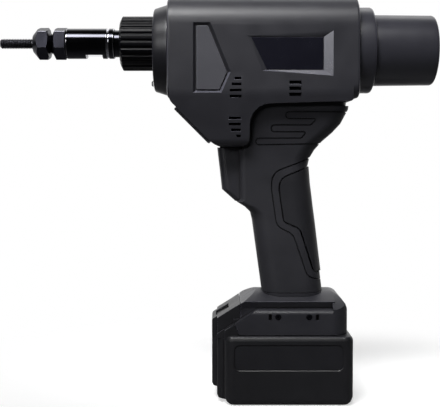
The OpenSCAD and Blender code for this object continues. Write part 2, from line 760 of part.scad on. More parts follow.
module front_collar() color("#3a3a3d") difference() {
    turned([[0, collar_front], [collar_d / 2 - 1, collar_front], [collar_d / 2, collar_front + 1],
        [collar_back_r, body_front], [0, body_front]], body_z);
    difference() {
        rod(collar_front + collar_rim, body_front + 1, collar_back_r - 5, body_z);
        rod(collar_front, body_front + 2, collar_hub_r);
        rod(collar_front, body_front + 2, lamp_d / 2 + 2, lamp_z);
    }
    rod(collar_front - 1, body_front + 1, tube_r + slide_gap);
    rod(collar_front - 1, body_front - 2, lamp_d / 2 + fit, lamp_z);
}
module lamp_lens() color("#e8eef2") turned([[0, collar_front - 2.6], [lamp_d / 2 - 1, collar_front - 2.6],
    [lamp_d / 2, collar_front - 1.4], [lamp_d / 2, body_front - 2 - fit], [0, body_front - 2 - fit]], lamp_z);

module nose_sleeve() color("#1d1d1f") difference() {
    turned([[tail_r + run_gap, sleeve_front], [sleeve_d / 2 - 0.8, sleeve_front],
        [sleeve_d / 2, sleeve_front + 0.8], [sleeve_d / 2, groove_x - groove_deep],
        [sleeve_d / 2 - groove_deep, groove_x], [sleeve_d / 2, groove_x + groove_deep],
        [sleeve_d / 2, sleeve_back - 0.6], [sleeve_d / 2 - 0.6, sleeve_back], [spigot_r, sleeve_back],
        [spigot_r, spigot_back], [sleeve_bore_r, spigot_back], [sleeve_bore_r, sleeve_front + thread_seat_l],
        [tail_r + run_gap, sleeve_front + thread_seat_l]]);
    box(wrench_flat[0], wrench_flat[1], -big, big, 0, axis_z - sleeve_d / 2 + 2.4);
}
module lock_nut() color("#1a1a1b") difference() {
    intersection() {
        hex_bar(nut_front, sleeve_front - fit, nose_af);
        turned([[0, nut_front], [nose_r - nut_chamfer[0], nut_front], [nose_r, nut_front + nut_chamfer[1]],
            [nose_r, sleeve_front - fit], [0, sleeve_front - fit]]);
    }
    rod(nut_front - 1, sleeve_front + 1, tail_r + run_gap);
}
seal_r = 0.7;
seal_x = anvil_tail_back - 4;
module anvil() color("#161617") difference() {
    union() {
        intersection() {
            hex_bar(anvil_front, anvil_back, nose_af);
            turned([[0, anvil_front], [7, anvil_front], [nose_r, anvil_front + 5.2],
                [nose_r, anvil_back - 1.2], [nose_af / 2, anvil_back], [0, anvil_back]]);
        }
        rod(anvil_back - 1, anvil_tail_back, tail_r);
    }
    rod(anvil_front - 1, anvil_tail_back + 1, mandrel_r + 0.3);
    turned([[tail_r - 2 * seal_r, seal_x - seal_r - fit], [tail_r + 1, seal_x - seal_r - fit],
        [tail_r + 1, seal_x + seal_r + fit], [tail_r - 2 * seal_r, seal_x + seal_r + fit]]);
}
module anvil_seal() color("#5a2018") translate([seal_x, 0, axis_z]) rotate([0, 90, 0])
    rotate_extrude() translate([tail_r - seal_r + run_gap / 3, 0]) circle(seal_r - run_gap / 3, $fn = 24);
module mandrel() color("#232326") {
    turned([[0, mandrel_tip], [mandrel_r - 1, mandrel_tip], [mandrel_r, mandrel_tip + 1],
        [mandrel_r, anvil_front - 0.4], [shank_r, anvil_front - 0.4], [shank_r, head_front + 1],
        [0, head_front + 1]]);
    hex_bar(head_front, head_front + head_l, head_af);
}

adjuster_r = adjuster_d / 2;
flute_r = 1.5;
ring_bevel = [3.6, 1.8];
module adjuster_ring() color("#19191a") difference() {
    turned([[spigot_r + slide_gap, ring_front], [adjuster_r - ring_bevel[0], ring_front],
        [adjuster_r, ring_front + ring_bevel[1]], [adjuster_r, ring_front + adjuster_l - 0.6],
        [adjuster_r - 0.6, ring_front + adjuster_l],
        [tube_r + run_gap, ring_front + adjuster_l], [tube_r + run_gap, ring_front + ring_wall],
        [spigot_r + slide_gap, ring_front + ring_wall]]);
    for (i = [0:adjuster_flutes - 1]) translate([0, 0, axis_z]) rotate([360 * i / adjuster_flutes, 0, 0])
        rod(ring_front - 1, ring_front + adjuster_l + 1, flute_r, adjuster_r + flute_r - 1.1);
}

// Pulling carriage

lip_l = 2.6;
flange_r = 8.1;
neck_hole_r = chuck_neck_r + 0.3;
module chuck() color("#8d9096") difference() {
    turned([[0, chuck_front], [chuck_r, chuck_front], [chuck_r, neck_front], [chuck_neck_r, neck_front],
        [chuck_neck_r, chuck_back - flange_l], [flange_r, chuck_back - flange_l], [flange_r, chuck_back],
        [0, chuck_back]]);
    hex_bar(chuck_front - 1, head_front + head_l + fit, head_af + 2 * fit);
    hex_bar(shaft_front - stroke - 3, chuck_back + 1, shaft_af + 2 * fit);
}
thrust_front = carriage_front + lip_l + fit;
thrust_back = chuck_back - flange_l - fit;
module thrust_ring() color("#b9bcc0") turned([[neck_hole_r, thrust_front], [flange_r, thrust_front],
    [flange_r, thrust_back], [neck_hole_r, thrust_back]]);
spigot_front = chuck_back + slide_gap;
flange_room_r = flange_r + 0.4;
module pull_sleeve() color("#77797e") turned([[neck_hole_r, carriage_front], [carriage_r, carriage_front],
    [carriage_r, carriage_back], [flange_r + fit, carriage_back], [flange_r + fit, spigot_front],
    [flange_room_r, spigot_front], [flange_room_r, carriage_front + lip_l],
    [neck_hole_r, carriage_front + lip_l]]);
module ball_screw() color("#9a9da3") turned([[shaft_af / 2 + 1, spigot_front], [flange_r, spigot_front],
    [flange_r, carriage_back + fit], [screw_d / 2, carriage_back + fit], [screw_d / 2, screw_back],
    [shaft_af / 2 + 1, screw_back]]);
guide_z = axis_z - guide_drop;
module torque_arm() color("#a08a55") difference() {
    union() {
        rod(screw_back - arm_l, screw_back, arm_r);
        box(screw_back - arm_l, screw_back, -5, 5, guide_z - 5, axis_z);
    }
    rod(screw_back - arm_l - 1, screw_back + 1, screw_d / 2 + fit / 2);
    rod(screw_back - arm_l - 1, screw_back + 1, guide_r + run_gap, guide_z);
}
module guide_rod() color("#b4b7bb") rod(plate_rear + 1, screw_back + stroke + 3, guide_r, guide_z);

// Gear frame

tube_front = ring_front + ring_wall + slide_gap;
frame_room = 3.5;
frame_w = body_w - 2 * wall - 2 * frame_room;
frame_top = axis_z + 24;
frame_bottom = idler_z - 9;
post_room = 0.8;
post_orbit = gear_m * (nut_teeth / 2 + addendum) + post_r + post_room;
post_rise = crown_z - 17 - axis_z;
post_at = [[sqrt(pow(post_orbit, 2) - pow(post_rise, 2)), axis_z + post_rise],
    [frame_w / 2 - post_r - 2, idler_z - 2]];
frame_outline = round_box(-frame_w / 2, frame_w / 2, frame_bottom, frame_top, [8, 8, 12, 12]);
module frame_front() color("#a5a8ab") difference() {
    union() {
        along(frame_outline, plate_front, gear_space_front);
        rod(tube_front, plate_front + 1, tube_r);
    }
    rod(tube_front - 1, gear_space_front + 1, tube_bore_r);
    rod(gear_space_front - bearing_l, gear_space_front + 1, bearing_r + fit / 2);
    rod(gear_space_front - 5, gear_space_front + 1, axle_r + fit / 2, idler_z);
}
motor_boss_r = 6;
module frame_rear() color("#a5a8ab") difference() {
    union() {
        along(frame_outline, plate_rear, plate_rear_back);
        along(round_box(1 - motor_d / 2, motor_d / 2 - 1, motor_z - motor_d / 2 + 2, idler_z,
            [8, 8, 0.1, 0.1]), plate_rear, plate_rear_back);
    }
    rod(plate_rear - 1, plate_rear_back + 1, bearing_r + fit / 2);
    rod(plate_rear - 1, plate_rear + 5, axle_r + fit / 2, idler_z);
    rod(plate_rear - 1, plate_rear_back + 1, motor_boss_r + fit, motor_z);
    rod(plate_rear + 1 - fit, plate_rear_back + 1, guide_r + fit / 2, guide_z);
}
module frame_posts() color("#8b8e92") for (p = post_at, e = [-1, 1])
    rod(gear_space_front, plate_rear, post_r, p[1], e * p[0]);
module nut_bearings() color("#c3c6ca") for (x = [gear_space_front - bearing_l, plate_rear])
    turned([[journal_r + run_gap, x], [bearing_r, x], [bearing_r, x + bearing_l],
        [journal_r + run_gap, x + bearing_l]]);

// Pulling gears

slack = 0.1;
module ball_nut() color("#7f8288") turned([[screw_d / 2 + run_gap, gear_space_front - bearing_l],
    [journal_r, gear_space_front - bearing_l], [journal_r, gear_space_front + slide_gap],
    [nut_r, gear_space_front + slide_gap], [nut_r, plate_rear - slide_gap],
    [journal_r, plate_rear - slide_gap], [journal_r, plate_rear_back],
    [screw_d / 2 + run_gap, plate_rear_back]]);
module nut_gear() color("#b0954f") difference() {
    gear(nut_gear_front, nut_gear_front + gear_face, nut_teeth, gear_m, slack, axis_z);
    rod(nut_gear_front - 1, nut_gear_front + gear_face + 1, nut_r + fit / 2);
}
module idler_gear() color("#9b9ea3") difference() {
    union() {
        gear(nut_gear_front - 0.5, idler_gear_front + 1, idler_pinion_teeth, gear_m, slack, idler_z, 0,
            180 / idler_pinion_teeth);
        gear(idler_gear_front, idler_gear_front + gear_face - 1, idler_teeth, gear_m, slack, idler_z);
        rod(idler_gear_front, plate_rear - slide_gap, axle_r + 3, idler_z);
    }
    rod(nut_gear_front - 1, plate_rear, axle_r + run_gap, idler_z);
}
module idler_axle() color("#b4b7bb") rod(gear_space_front - 5 + fit, plate_rear + 5 - fit, axle_r, idler_z);
module motor_pinion() color("#8f9297") difference() {
    gear(idler_gear_front - 0.5, idler_gear_front + gear_face, motor_teeth, gear_m, slack, motor_z, 0,
        180 / motor_teeth);
    rod(idler_gear_front - 1, idler_gear_front + gear_face + 1, motor_shaft_r + fit / 2, motor_z);
}

// Pulling motor

can_t = 1.2;
magnet_t = 3.4;
bore_r = motor_d / 2 - can_t - magnet_t - fit;
endcap_l = 7;
module motor_can() color("#9fa2a6") difference() {
    union() {
        rod(plate_rear_back + fit, motor_back - endcap_l, motor_d / 2, motor_z);
        rod(plate_rear + 2, plate_rear_back + 1, motor_boss_r, motor_z);
    }
    rod(plate_rear_back + fit + 2, motor_back, motor_d / 2 - can_t, motor_z);
    rod(plate_rear, motor_back, motor_shaft_r + run_gap, motor_z);
}
module motor_magnets() color("#3b3b40") difference() {
    rod(plate_rear_back + 8, motor_back - endcap_l - 8, motor_d / 2 - can_t - fit / 2, motor_z);
    rod(plate_rear_back + 7, motor_back, bore_r, motor_z);
    box(-big, big, -7, 7, 0, big);
}
module motor_rotor() color("#8a4b2c") {
    rod(idler_gear_front - 1, motor_back - 1, motor_shaft_r, motor_z);
    rod(plate_rear_back + 9, motor_back - endcap_l - 9, bore_r - 0.6, motor_z);
    rod(motor_back - endcap_l - 8, motor_back - endcap_l - 1, 5, motor_z);
}
module motor_endcap() color("#232325") difference() {
    rod(motor_back - endcap_l + fit, motor_back, motor_d / 2, motor_z);
    rod(motor_back - endcap_l - 1, motor_back + 1, motor_shaft_r + run_gap, motor_z);
}

// Spin drive

spin_slack = 0.06;
carrier_r = planet_m * (ring_teeth / 2 - 0.8) - 0.4;
planet_back = planet_front + planet_face;
sun_back = planet_back + 1;
journal_front = ring_front_x - 6;
shaft_journal_r = 4.5;
pin_r = 1.5;
spin_shaft_r = 1.5;
module ring_gear() color("#8f9297") difference() {
    rod(ring_front_x, ring_back_x, spin_d / 2);
    translate([ring_front_x + 3, 0, axis_z]) rotate([90, 0, 90]) linear_extrude(ring_l)
        polygon(gear_outline(ring_teeth, planet_m, -spin_slack, dedendum, addendum));
    rod(ring_front_x - 1, ring_front_x + 4, shaft_journal_r + run_gap);
}
function planet_y(k) = planet_orbit * cos(120 * k);
function planet_z(k) = axis_z + planet_orbit * sin(120 * k);
module planet(k) color("#b0954f") difference() {
    gear(planet_front, planet_back, planet_teeth, planet_m, spin_slack, planet_z(k), planet_y(k));
    rod(planet_front - 1, planet_back + 1, pin_r + run_gap, planet_z(k), planet_y(k));
}
module planet_1() planet(0);
module planet_2() planet(1);
module planet_3() planet(2);
module drive_shaft() color("#a7aaae") {
    hex_bar(shaft_front, journal_front + 2, shaft_af);
    rod(journal_front, carrier_front + 1, shaft_journal_r);
    rod(carrier_front, planet_front - slide_gap, carrier_r);
    for (k = [0:2]) rod(planet_front - 1, planet_back, pin_r, planet_z(k), planet_y(k));
}
module spin_can() color("#9fa2a6") difference() {
    rod(ring_back_x + fit, spin_back, spin_d / 2);
    rod(ring_back_x + fit + 2, spin_back - 3, spin_d / 2 - can_t);
    rod(ring_back_x - 1, spin_back + 1, spin_shaft_r + run_gap);
}
module spin_rotor() color("#8a4b2c") {
    gear(planet_front, sun_back, planet_teeth, planet_m, spin_slack, axis_z);
    rod(sun_back - 1, spin_back - 1, spin_shaft_r);
    rod(ring_back_x + 8, spin_back - 9, spin_d / 2 - 5);
}

// Rear ring and cap

ring_bore_r = rear_cap_d / 2 - 2;
cap_r = rear_cap_d / 2;
cap_wall = 2.6;
module rear_ring() color("#343437") turned([[ring_bore_r, body_rear], [rear_ring_d / 2, body_rear],
    [rear_ring_d / 2, rear_ring_back - 2.4], [rear_ring_d / 2 - 0.7, rear_ring_back - 0.7],
    [rear_ring_d / 2 - 2.4, rear_ring_back], [ring_bore_r, rear_ring_back]], body_z);
module rear_cap() color("#3d3d41") turned([[cap_r, rear_ring_back + fit], [cap_r - 0.5, cap_back - 2.4],
    [cap_r - 1.2, cap_back - 0.7], [cap_r - 3, cap_back], [0, cap_back], [0, cap_back - cap_wall],
    [cap_r - cap_wall - 0.5, cap_back - cap_wall], [cap_r - cap_wall - 0.5, rear_ring_back + cap_wall],
    [ring_bore_r - fit - 2, rear_ring_back + cap_wall], [ring_bore_r - fit - 2, rear_ring_back - 8],
    [ring_bore_r - fit, rear_ring_back - 8], [ring_bore_r - fit, rear_ring_back + fit]], body_z);

// Trigger and switch

trigger_stations = [[trigger_h, trigger_front + 14.2], [trigger_h - 3.6, trigger_front + 10.2],
    [trigger_h - 7, trigger_front + 6.4], [trigger_h - 9.4, trigger_front + 3.7], [18, trigger_front + 2.1],
    [3, trigger_front + 0.3], [0, trigger_front]];
spring_seat = 8;
spring_r = 4.2;
spring_wire = 0.8;
module trigger() color("#2b2b2e") {
    difference() {
        loft([for (s = trigger_stations) at_z(round_box(s[1], trigger_back, -trigger_w / 2, trigger_w / 2,
            [6, 1, 1, 6]), trigger_top - s[0])]);
        rod(trigger_back - spring_seat, trigger_back + 1, spring_r + 1, stem_z);
    }
    rod(trigger_back - spring_seat - 1, switch_front + 10, stem_r, stem_z);
}
trigger_spring_l = switch_front - trigger_back + spring_seat - 2 * fit;
module trigger_spring() color("#c9ccd0") translate([trigger_back - spring_seat + fit, 0, stem_z])
    rotate([0, 90, 0]) coil(spring_r - 0.2, spring_wire, trigger_spring_l, 6);
module switch_body() color("#1f1f22") difference() {
    box(switch_front, switch_front + switch_l, -switch_w / 2, switch_w / 2, switch_z, switch_z + switch_h);
    rod(switch_front - 1, switch_front + 11 + trigger_travel, stem_r + slide_gap, stem_z);
}

// Electronics

board_t = 1.6;
chip_l = 14;
chip_w = 12;
chip_h = 5;
chip_y = 10;
chip_x = board_x0 + 6;
can_r = 5;
part_x = board_x0 + 25;
module control_board() color("#1f5a38") {
    box(board_x0, board_x1, -board_w / 2, board_w / 2, board_z + fit, board_z + fit + board_t);
    for (y = [-chip_y, chip_y])
        box(chip_x, chip_x + chip_l, y - chip_w / 2, y + chip_w / 2, board_z + 1, board_z + 1 + chip_h);
    rod(part_x - 1, board_x1 - 2, can_r, board_z + board_t + can_r - 0.2, board_w / 2 - 2 * can_r);
    box(part_x, board_x1 - 4, -15, -3, board_z + 1, board_z + 4);
}
terminal_l = 34;
terminal_w = 32;
terminal_h = 6.3;
blade_front = 8;
blade_l = 20;
module terminal_block() color("#202024") {
    box(0, terminal_l, -terminal_w / 2, terminal_w / 2, foot_ceiling - fit - terminal_h, foot_ceiling - fit);
    for (y = [-blade_y, blade_y]) box(blade_front, blade_front + blade_l, y - blade_t / 2, y + blade_t / 2,
        flange_z + 0.4, foot_ceiling - 4);
}
rail_out = foot_inner_w / 2 - fit;
module battery_rails() color("#2a2a2d") mirrored() difference() {
    intersection() {
        along([[flange_w / 2 + slide_gap, foot_z], [rail_out, foot_z], [rail_out, flank_z],
            [flange_w / 2 + slide_gap, flank_z], [flange_w / 2 + slide_gap, foot_z + rail_lip_h],
            [neck_w / 2 + slide_gap, foot_z + rail_lip_h], [neck_w / 2 + slide_gap, foot_z]],
            foot_front + 1, rail_back);
        foot_plan(foot_inner_rear - fit, rail_out, foot_inner_r, 0, big);
        side(foot_side(wall + fit), big);
    }
    for (x = rail_screws_at) cross_rod(flange_w / 2, big, screw_r + fit, x, rail_screw_z);
}
module rail_screws() color("#3a3a3c") for (x = rail_screws_at) mirrored() {
    seat_y = foot_inner_w / 2 + wall / 2;
    cross_rod(flange_w / 2 + slide_gap, seat_y + 0.2, screw_r, x, rail_screw_z);
    cross_rod(seat_y, seat_y + 0.8, screw_head_r - 0.7, x, rail_screw_z);
}
module casing_screws() color("#3a3a3c") for (s = casing_screws_at) difference() {
    union() {
        cross_rod(-13, screw_seat(s) + 1, screw_r, s[0], s[1]);
        cross_rod(screw_seat(s), screw_seat(s) + screw_head_l, screw_head_r, s[0], s[1]);
    }
    translate([s[0], screw_seat(s) + screw_head_l - 1.4, s[1]]) rotate([-90, 0, 0])
        cylinder(h = 5, r = 1.2, $fn = 6);
}

// Battery pack

function pack_ring(ix, iy, z) = at_z(round_box(pack_front + ix, pack_rear - ix,
    iy - pack_w / 2, pack_w / 2 - iy, [for (i = [0:3]) max(1, pack_r - ix)]), z);
function step_ring(ix, iy, z) = at_z(round_box(step_x + ix, pack_front + 4, iy - step_w / 2, step_w / 2 - iy,
    [4, 1, 1, 4]), z);
function tower_ring(ix, iy, z) = at_z(round_box(tower_x + ix, step_x + 4, iy - tower_w / 2, tower_w / 2 - iy,
    [3.5, 0.5, 0.5, 3.5]), z);
pack_label_deep = 0.6;
pack_label_r = 4;
label_front = pack_front + 8;
label_rear = pack_rear - 8.5;
label_low = tub_h - 22.2;
label_high = tub_h - 3.3;
module pack_label() mirrored() difference() {
    side(round_box(label_front, label_rear, label_low, label_high,
        [for (i = [0:3]) pack_label_r]), 2 * pack_w);
    box(-big, big, -pack_w / 2 + pack_label_deep, big, 0, big);
}
pack_room_r = 2.5;
module pack_room() translate([0, 0, pack_wall]) linear_extrude(big) polygon(round_box(pack_front + pack_wall,
    pack_rear - pack_wall, pack_wall - pack_w / 2, pack_w / 2 - pack_wall, [for (i = [0:3]) pack_room_r]));
module pack_tub() color("#2b2b2e") difference() {
    union() {
        loft([pack_ring(7, 4.5, 0), pack_ring(4, 2.2, 0.8), pack_ring(1.6, 0.8, 2.6), pack_ring(0, 0, 6),
            pack_ring(0, 0, tub_h)]);
        loft([step_ring(4, 3, 1.8), step_ring(1, 0.8, 3.2), step_ring(0, 0, 6), step_ring(0, 0, tub_h)]);
        loft([tower_ring(3, 3, 9), tower_ring(0.8, 0.8, 10.4), tower_ring(0, 0, 13),
            tower_ring(0, 0, tub_h)]);
    }
    pack_room();
    pack_label();
}

tower_back = foot_front - slide_gap;
roof_back = roof_front - slide_gap;
flank_drop = roof_z - flank_z;
lean_top = slope_z(foot_front - foot_lean) - flank_drop;
tower_half = [[tower_x, tower_w / 2], [step_x, tower_w / 2], [step_x, step_w / 2], [pack_front, step_w / 2],
    [pack_front, big], [0, big]];
tower_plan = concat(tower_half, [for (i = [5:-1:0]) [tower_half[i][0], -tower_half[i][1]]]);
lid_z = tub_h + fit;
module latch_tower() {
    intersection() {
        side([[tower_x, lid_z], [tower_back, lid_z], [tower_back, pack_h], [tower_back - foot_lean, lean_top],
            [tower_x, slope_z(tower_x) - flank_drop]], big);
        along(flank_section(lid_z - 1), -big, 0);
        linear_extrude(big) polygon(tower_plan);
    }
    intersection() {
        side(rounded([[tower_x, lid_z, 0], [tower_back, lid_z, 0], [tower_back, foot_z + 1, 0],
            [roof_back, foot_z + 6, 0], [roof_back, slope_z(roof_back), 0],
            [tower_x, slope_z(tower_x), 3]]), big);
        along(arch(roof_w, roof_arch_r, lid_z - 1, roof_under), -big, 0);
        linear_extrude(big) polygon(tower_plan);
    }
}
latch_floor = pack_h + 3;
latch_back = latch_x + latch_l;
latch_mid = latch_x + latch_l / 2;
spring_h = 6;
tooth_w = 10;
tooth_top = flange_z + flange_h + 2.4;
tooth_h = 3.6;
tooth_end = -35;
module pack_lid() color("#2b2b2e") difference() {
    union() {
        loft([pack_ring(0, 0, lid_z), pack_ring(0.5, 0.5, lid_z + 1.6), pack_ring(1.6, 1.6, pack_h - 0.9),
            pack_ring(4, 4, pack_h)]);
        box(tower_back - 4, rail_back - 4, -neck_w / 2, neck_w / 2, pack_h - 1, flange_z + 1);
        box(tower_back - 4, rail_back - 4, -flange_w / 2, flange_w / 2, flange_z, flange_z + flange_h);
        latch_tower();
    }
    box(latch_x - slide_gap, latch_x + latch_l + slide_gap, -latch_w / 2 - slide_gap, latch_w / 2 + slide_gap,
        latch_floor, big);
    box(latch_x + latch_l, tooth_end + 1, -tooth_w / 2 - slide_gap, tooth_w / 2 + slide_gap,
        tooth_top - tooth_h - latch_travel - slide_gap, tooth_top + slide_gap);
    for (y = [-blade_y, blade_y]) box(blade_front - 4, big, y - blade_t / 2 - slide_gap,
        y + blade_t / 2 + slide_gap, flange_z, big);
}
module latch_button() color("#1c1c1e") {
    intersection() {
        box(latch_x, latch_x + latch_l, -latch_w / 2, latch_w / 2, latch_floor + spring_h, big);
        side([[latch_x - 1, 0], [latch_back + 1, 0], [latch_back + 1, slope_z(latch_back + 1) - 2.6],
            [latch_x - 1, slope_z(latch_x - 1) - 1.6]], big);
    }
    box(latch_x + latch_l - 1, tooth_end, -tooth_w / 2, tooth_w / 2, tooth_top - tooth_h, tooth_top);
}
module latch_spring() color("#c9ccd0") translate([latch_mid, 0, latch_floor + fit])
    coil(3, 0.7, spring_h - 2 * fit, 3);
module pack_cells() color("#3f6f9f") for (i = [0:cells - 1])
    cross_rod(-cell_l / 2, cell_l / 2, cell_d / 2, (i - (cells - 1) / 2) * cell_pitch, cell_z);
// End plates of the cell row, with combs under and over the cells
comb_y = cell_l / 2 - 8.5;
comb_open = 3;
frame_end = pack_rear - pack_wall - cell_row_room / 2;
frame_out = pack_w / 2 - pack_wall - fit;
module pack_frame() color("#d8d8d4") mirrored() difference() {
    translate([0, 0, pack_wall + fit]) linear_extrude(frame_h - fit) polygon(rounded([[-frame_end, comb_y, 0],
        [frame_end, comb_y, 0], [frame_end, frame_out, pack_room_r], [-frame_end, frame_out, pack_room_r]]));
    box(-big, big, 0, cell_l / 2 + fit, cell_z - comb_open, cell_z + comb_open);
    for (i = [0:cells - 1])
        cross_rod(0, cell_l / 2 + fit, cell_d / 2 + fit, (i - (cells - 1) / 2) * cell_pitch, cell_z);
}

casing_left();
casing_right();
grip_left();
grip_right();
palm_pad();
side_panel_left();
side_panel_right();
name_plate_left();
name_plate_right();
chin_plate();
front_collar();
lamp_lens();
nose_sleeve();
lock_nut();
anvil();
anvil_seal();
mandrel();
chuck();
pull_sleeve();
thrust_ring();
ball_screw();
torque_arm();
guide_rod();
adjuster_ring();
frame_front();
frame_rear();
frame_posts();
nut_bearings();
ball_nut();
nut_gear();
idler_gear();
idler_axle();
motor_pinion();
motor_rotor();
motor_can();
motor_magnets();
motor_endcap();
spin_can();
spin_rotor();
ring_gear();
planet_1();
planet_2();
planet_3();
drive_shaft();
rear_ring();
rear_cap();
trigger();
trigger_spring();
switch_body();
control_board();
terminal_block();
battery_rails();
casing_screws();
rail_screws();
pack_tub();
pack_lid();
pack_cells();
pack_frame();
latch_button();
latch_spring();
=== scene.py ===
# %% [markdown]
# # A battery rivet nut tool, dressed for its portrait
#
# The tool is a pistol-grip machine: a black body, a rubber handle, a battery pack under the foot and a long
# nose with a threaded mandrel. Its solids come from CAD and are loaded as a fixed frame. This lesson gives
# each visible piece its eased edges and its finish, and makes what CAD left plain, such as the threads.

# %% Open the frame
import json
import math

import bmesh
import bpy
from mathutils import Matrix, Vector
from mathutils.bvhtree import BVHTree


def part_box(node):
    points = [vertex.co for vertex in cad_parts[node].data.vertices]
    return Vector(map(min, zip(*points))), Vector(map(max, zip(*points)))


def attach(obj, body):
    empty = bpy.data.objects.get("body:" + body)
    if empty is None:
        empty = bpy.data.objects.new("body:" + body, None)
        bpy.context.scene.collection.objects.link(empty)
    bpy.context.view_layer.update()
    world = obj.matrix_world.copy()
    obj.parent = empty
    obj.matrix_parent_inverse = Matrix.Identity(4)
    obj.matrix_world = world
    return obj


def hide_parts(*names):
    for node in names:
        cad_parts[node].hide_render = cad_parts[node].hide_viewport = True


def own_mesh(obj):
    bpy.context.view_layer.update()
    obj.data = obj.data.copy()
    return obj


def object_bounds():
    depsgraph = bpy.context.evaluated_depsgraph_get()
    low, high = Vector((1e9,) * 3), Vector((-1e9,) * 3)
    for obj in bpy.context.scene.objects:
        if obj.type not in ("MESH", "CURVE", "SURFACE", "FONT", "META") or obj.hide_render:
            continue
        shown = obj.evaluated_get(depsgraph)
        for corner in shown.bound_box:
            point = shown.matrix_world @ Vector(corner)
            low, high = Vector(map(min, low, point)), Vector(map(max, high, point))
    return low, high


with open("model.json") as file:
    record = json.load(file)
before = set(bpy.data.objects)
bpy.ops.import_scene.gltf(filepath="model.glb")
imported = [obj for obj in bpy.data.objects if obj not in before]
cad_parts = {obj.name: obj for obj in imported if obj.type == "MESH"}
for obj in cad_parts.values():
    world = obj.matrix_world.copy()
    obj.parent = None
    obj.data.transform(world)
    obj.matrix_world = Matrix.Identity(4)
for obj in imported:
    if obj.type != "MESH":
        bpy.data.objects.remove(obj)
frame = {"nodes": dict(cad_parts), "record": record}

cad_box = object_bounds()
record = frame["record"]
scene = bpy.context.scene
body_of = {node: body for body, nodes in record["behaviour"]["bodies"].items() for node in nodes}
slot_of = {row["node"]: row["material_slot"] for row in record["subparts"]}

# %% [markdown]
# ## The camera
#
# The photograph looks straight at the left flank from about 0.7 m, a little above the handle. A camera can
# be aimed with a constraint, but a plain rotation is easier to read and gives the same picture each time.

# %% Set up the camera
MM = 0.001
CAMERA_AT = (-53.0 * MM, -700.0 * MM, 195.5 * MM)
CAMERA_PITCH = 1.9
LENS_MM, SENSOR_MM = 71.6, 36.0
FRAME_SHIFT = -0.0535
NEAR_CLIP = 0.01

lens_data = bpy.data.cameras.new("portrait_camera")
lens_data.lens = LENS_MM
lens_data.sensor_width = SENSOR_MM
lens_data.sensor_fit = "HORIZONTAL"
lens_data.shift_y = FRAME_SHIFT
lens_data.clip_start = NEAR_CLIP
camera = bpy.data.objects.new("portrait_camera", lens_data)
camera.location = CAMERA_AT
camera.rotation_euler = (math.radians(90.0 - CAMERA_PITCH), 0.0, 0.0)
scene.collection.objects.link(camera)
scene.camera = camera
print("camera", tuple(round(v, 3) for v in camera.location), "lens", LENS_MM, "mm")

# %% [markdown]
# ## Nodes and colours
#
# Every material and every Geometry Nodes tree below is built from the same small function. It adds one
# node, sets its options and joins its sockets. Colours are written as sRGB hex, the way a paint chart gives
# them, and one function turns them into the linear values that the shader works in.

# %% Helpers for nodes and colours
MATH, MIX, RANGE = "ShaderNodeMath", "ShaderNodeMix", "ShaderNodeMapRange"
SPLIT, JOIN_XYZ, POSITION = "ShaderNodeSeparateXYZ", "ShaderNodeCombineXYZ", "GeometryNodeInputPosition"


def add(tree, kind, inputs=None, **settings):
    """Adds a node. Each input is a value, an output, a node (for its first output) or a list of these."""
    node = tree.nodes.new(kind)
    for name, value in settings.items():
        setattr(node, name, value)
    for socket, value in (inputs or {}).items():
        for item in value if isinstance(value, list) else [value]:
            source = item.outputs[0] if isinstance(item, bpy.types.Node) else item
            if isinstance(source, bpy.types.NodeSocket):
                tree.links.new(source, node.inputs[socket])
            else:
                node.inputs[socket].default_value = source
    return node


def linear(code):
    """Linear RGBA of an sRGB hex colour such as '2b2b2d'."""
    parts = [int(code[i:i + 2], 16) / 255 for i in (0, 2, 4)]
    return tuple(p / 12.92 if p <= 0.04045 else ((p + 0.055) / 1.055) ** 2.4 for p in parts) + (1.0,)


def per_mm(size):
    """Texture scale at which a noise feature is this many millimetres across."""
    return 1.0 / (size * MM)


print("charcoal in linear light:", [round(v, 4) for v in linear("2b2b2d")])

# %% [markdown]
# ## Studio light
#
# A black product is lit by what it mirrors. One softbox hangs close in front of the tool, high and to the
# left: it draws the band of light on the nose and lights the shoulder and every edge that faces up and
# left. A strip behind draws the thin line on the crown. A weak panel at the left of the camera opens the
# flank and draws the bevels that face it. Grids on all three keep the light on the body, so that the pack
# falls off into the dark. The room stays dim, so that the polished nose keeps its blacks, and only mirrors
# that look past the tool see the white sweep and the white floor behind. Lamps could be copied from a
# photographer's plan, but a few rectangles are enough.

# %% Hang the softboxes
AIM = Vector((-0.03, 0.0, 0.29))
# Place and size in metres, power in watts, angle of the grid in degrees.
SOFTBOXES = {
    "key_softbox": ((-0.21, -0.42, 0.91), (0.6, 0.3), 0.92, 42.0),
    "crown_strip": ((0.05, 0.55, 0.95), (1.0, 0.25), 0.2, 90.0),
    "flank_softbox": ((-0.66, -1.05, 0.62), (0.5, 0.5), 0.17, 26.0),
}
for name, (place, size, watts, grid) in SOFTBOXES.items():
    lamp = bpy.data.lights.new(name, "AREA")
    lamp.shape = "RECTANGLE"
    lamp.size, lamp.size_y = size
    lamp.energy = watts
    lamp.spread = math.radians(grid)
    holder = bpy.data.objects.new(name, lamp)
    holder.location = place
    holder.rotation_euler = (AIM - Vector(place)).to_track_quat("-Z", "Y").to_euler()
    scene.collection.objects.link(holder)
print(len(SOFTBOXES), "softboxes,", sum(row[2] for row in SOFTBOXES.values()), "W")

# %% Paint the white sweep and the dim room
AMBIENT, ROOM = 0.10, 0.02
SWEEP = (0.1, 0.8)
WHITE = (1.0, 1.0, 1.0, 1.0)

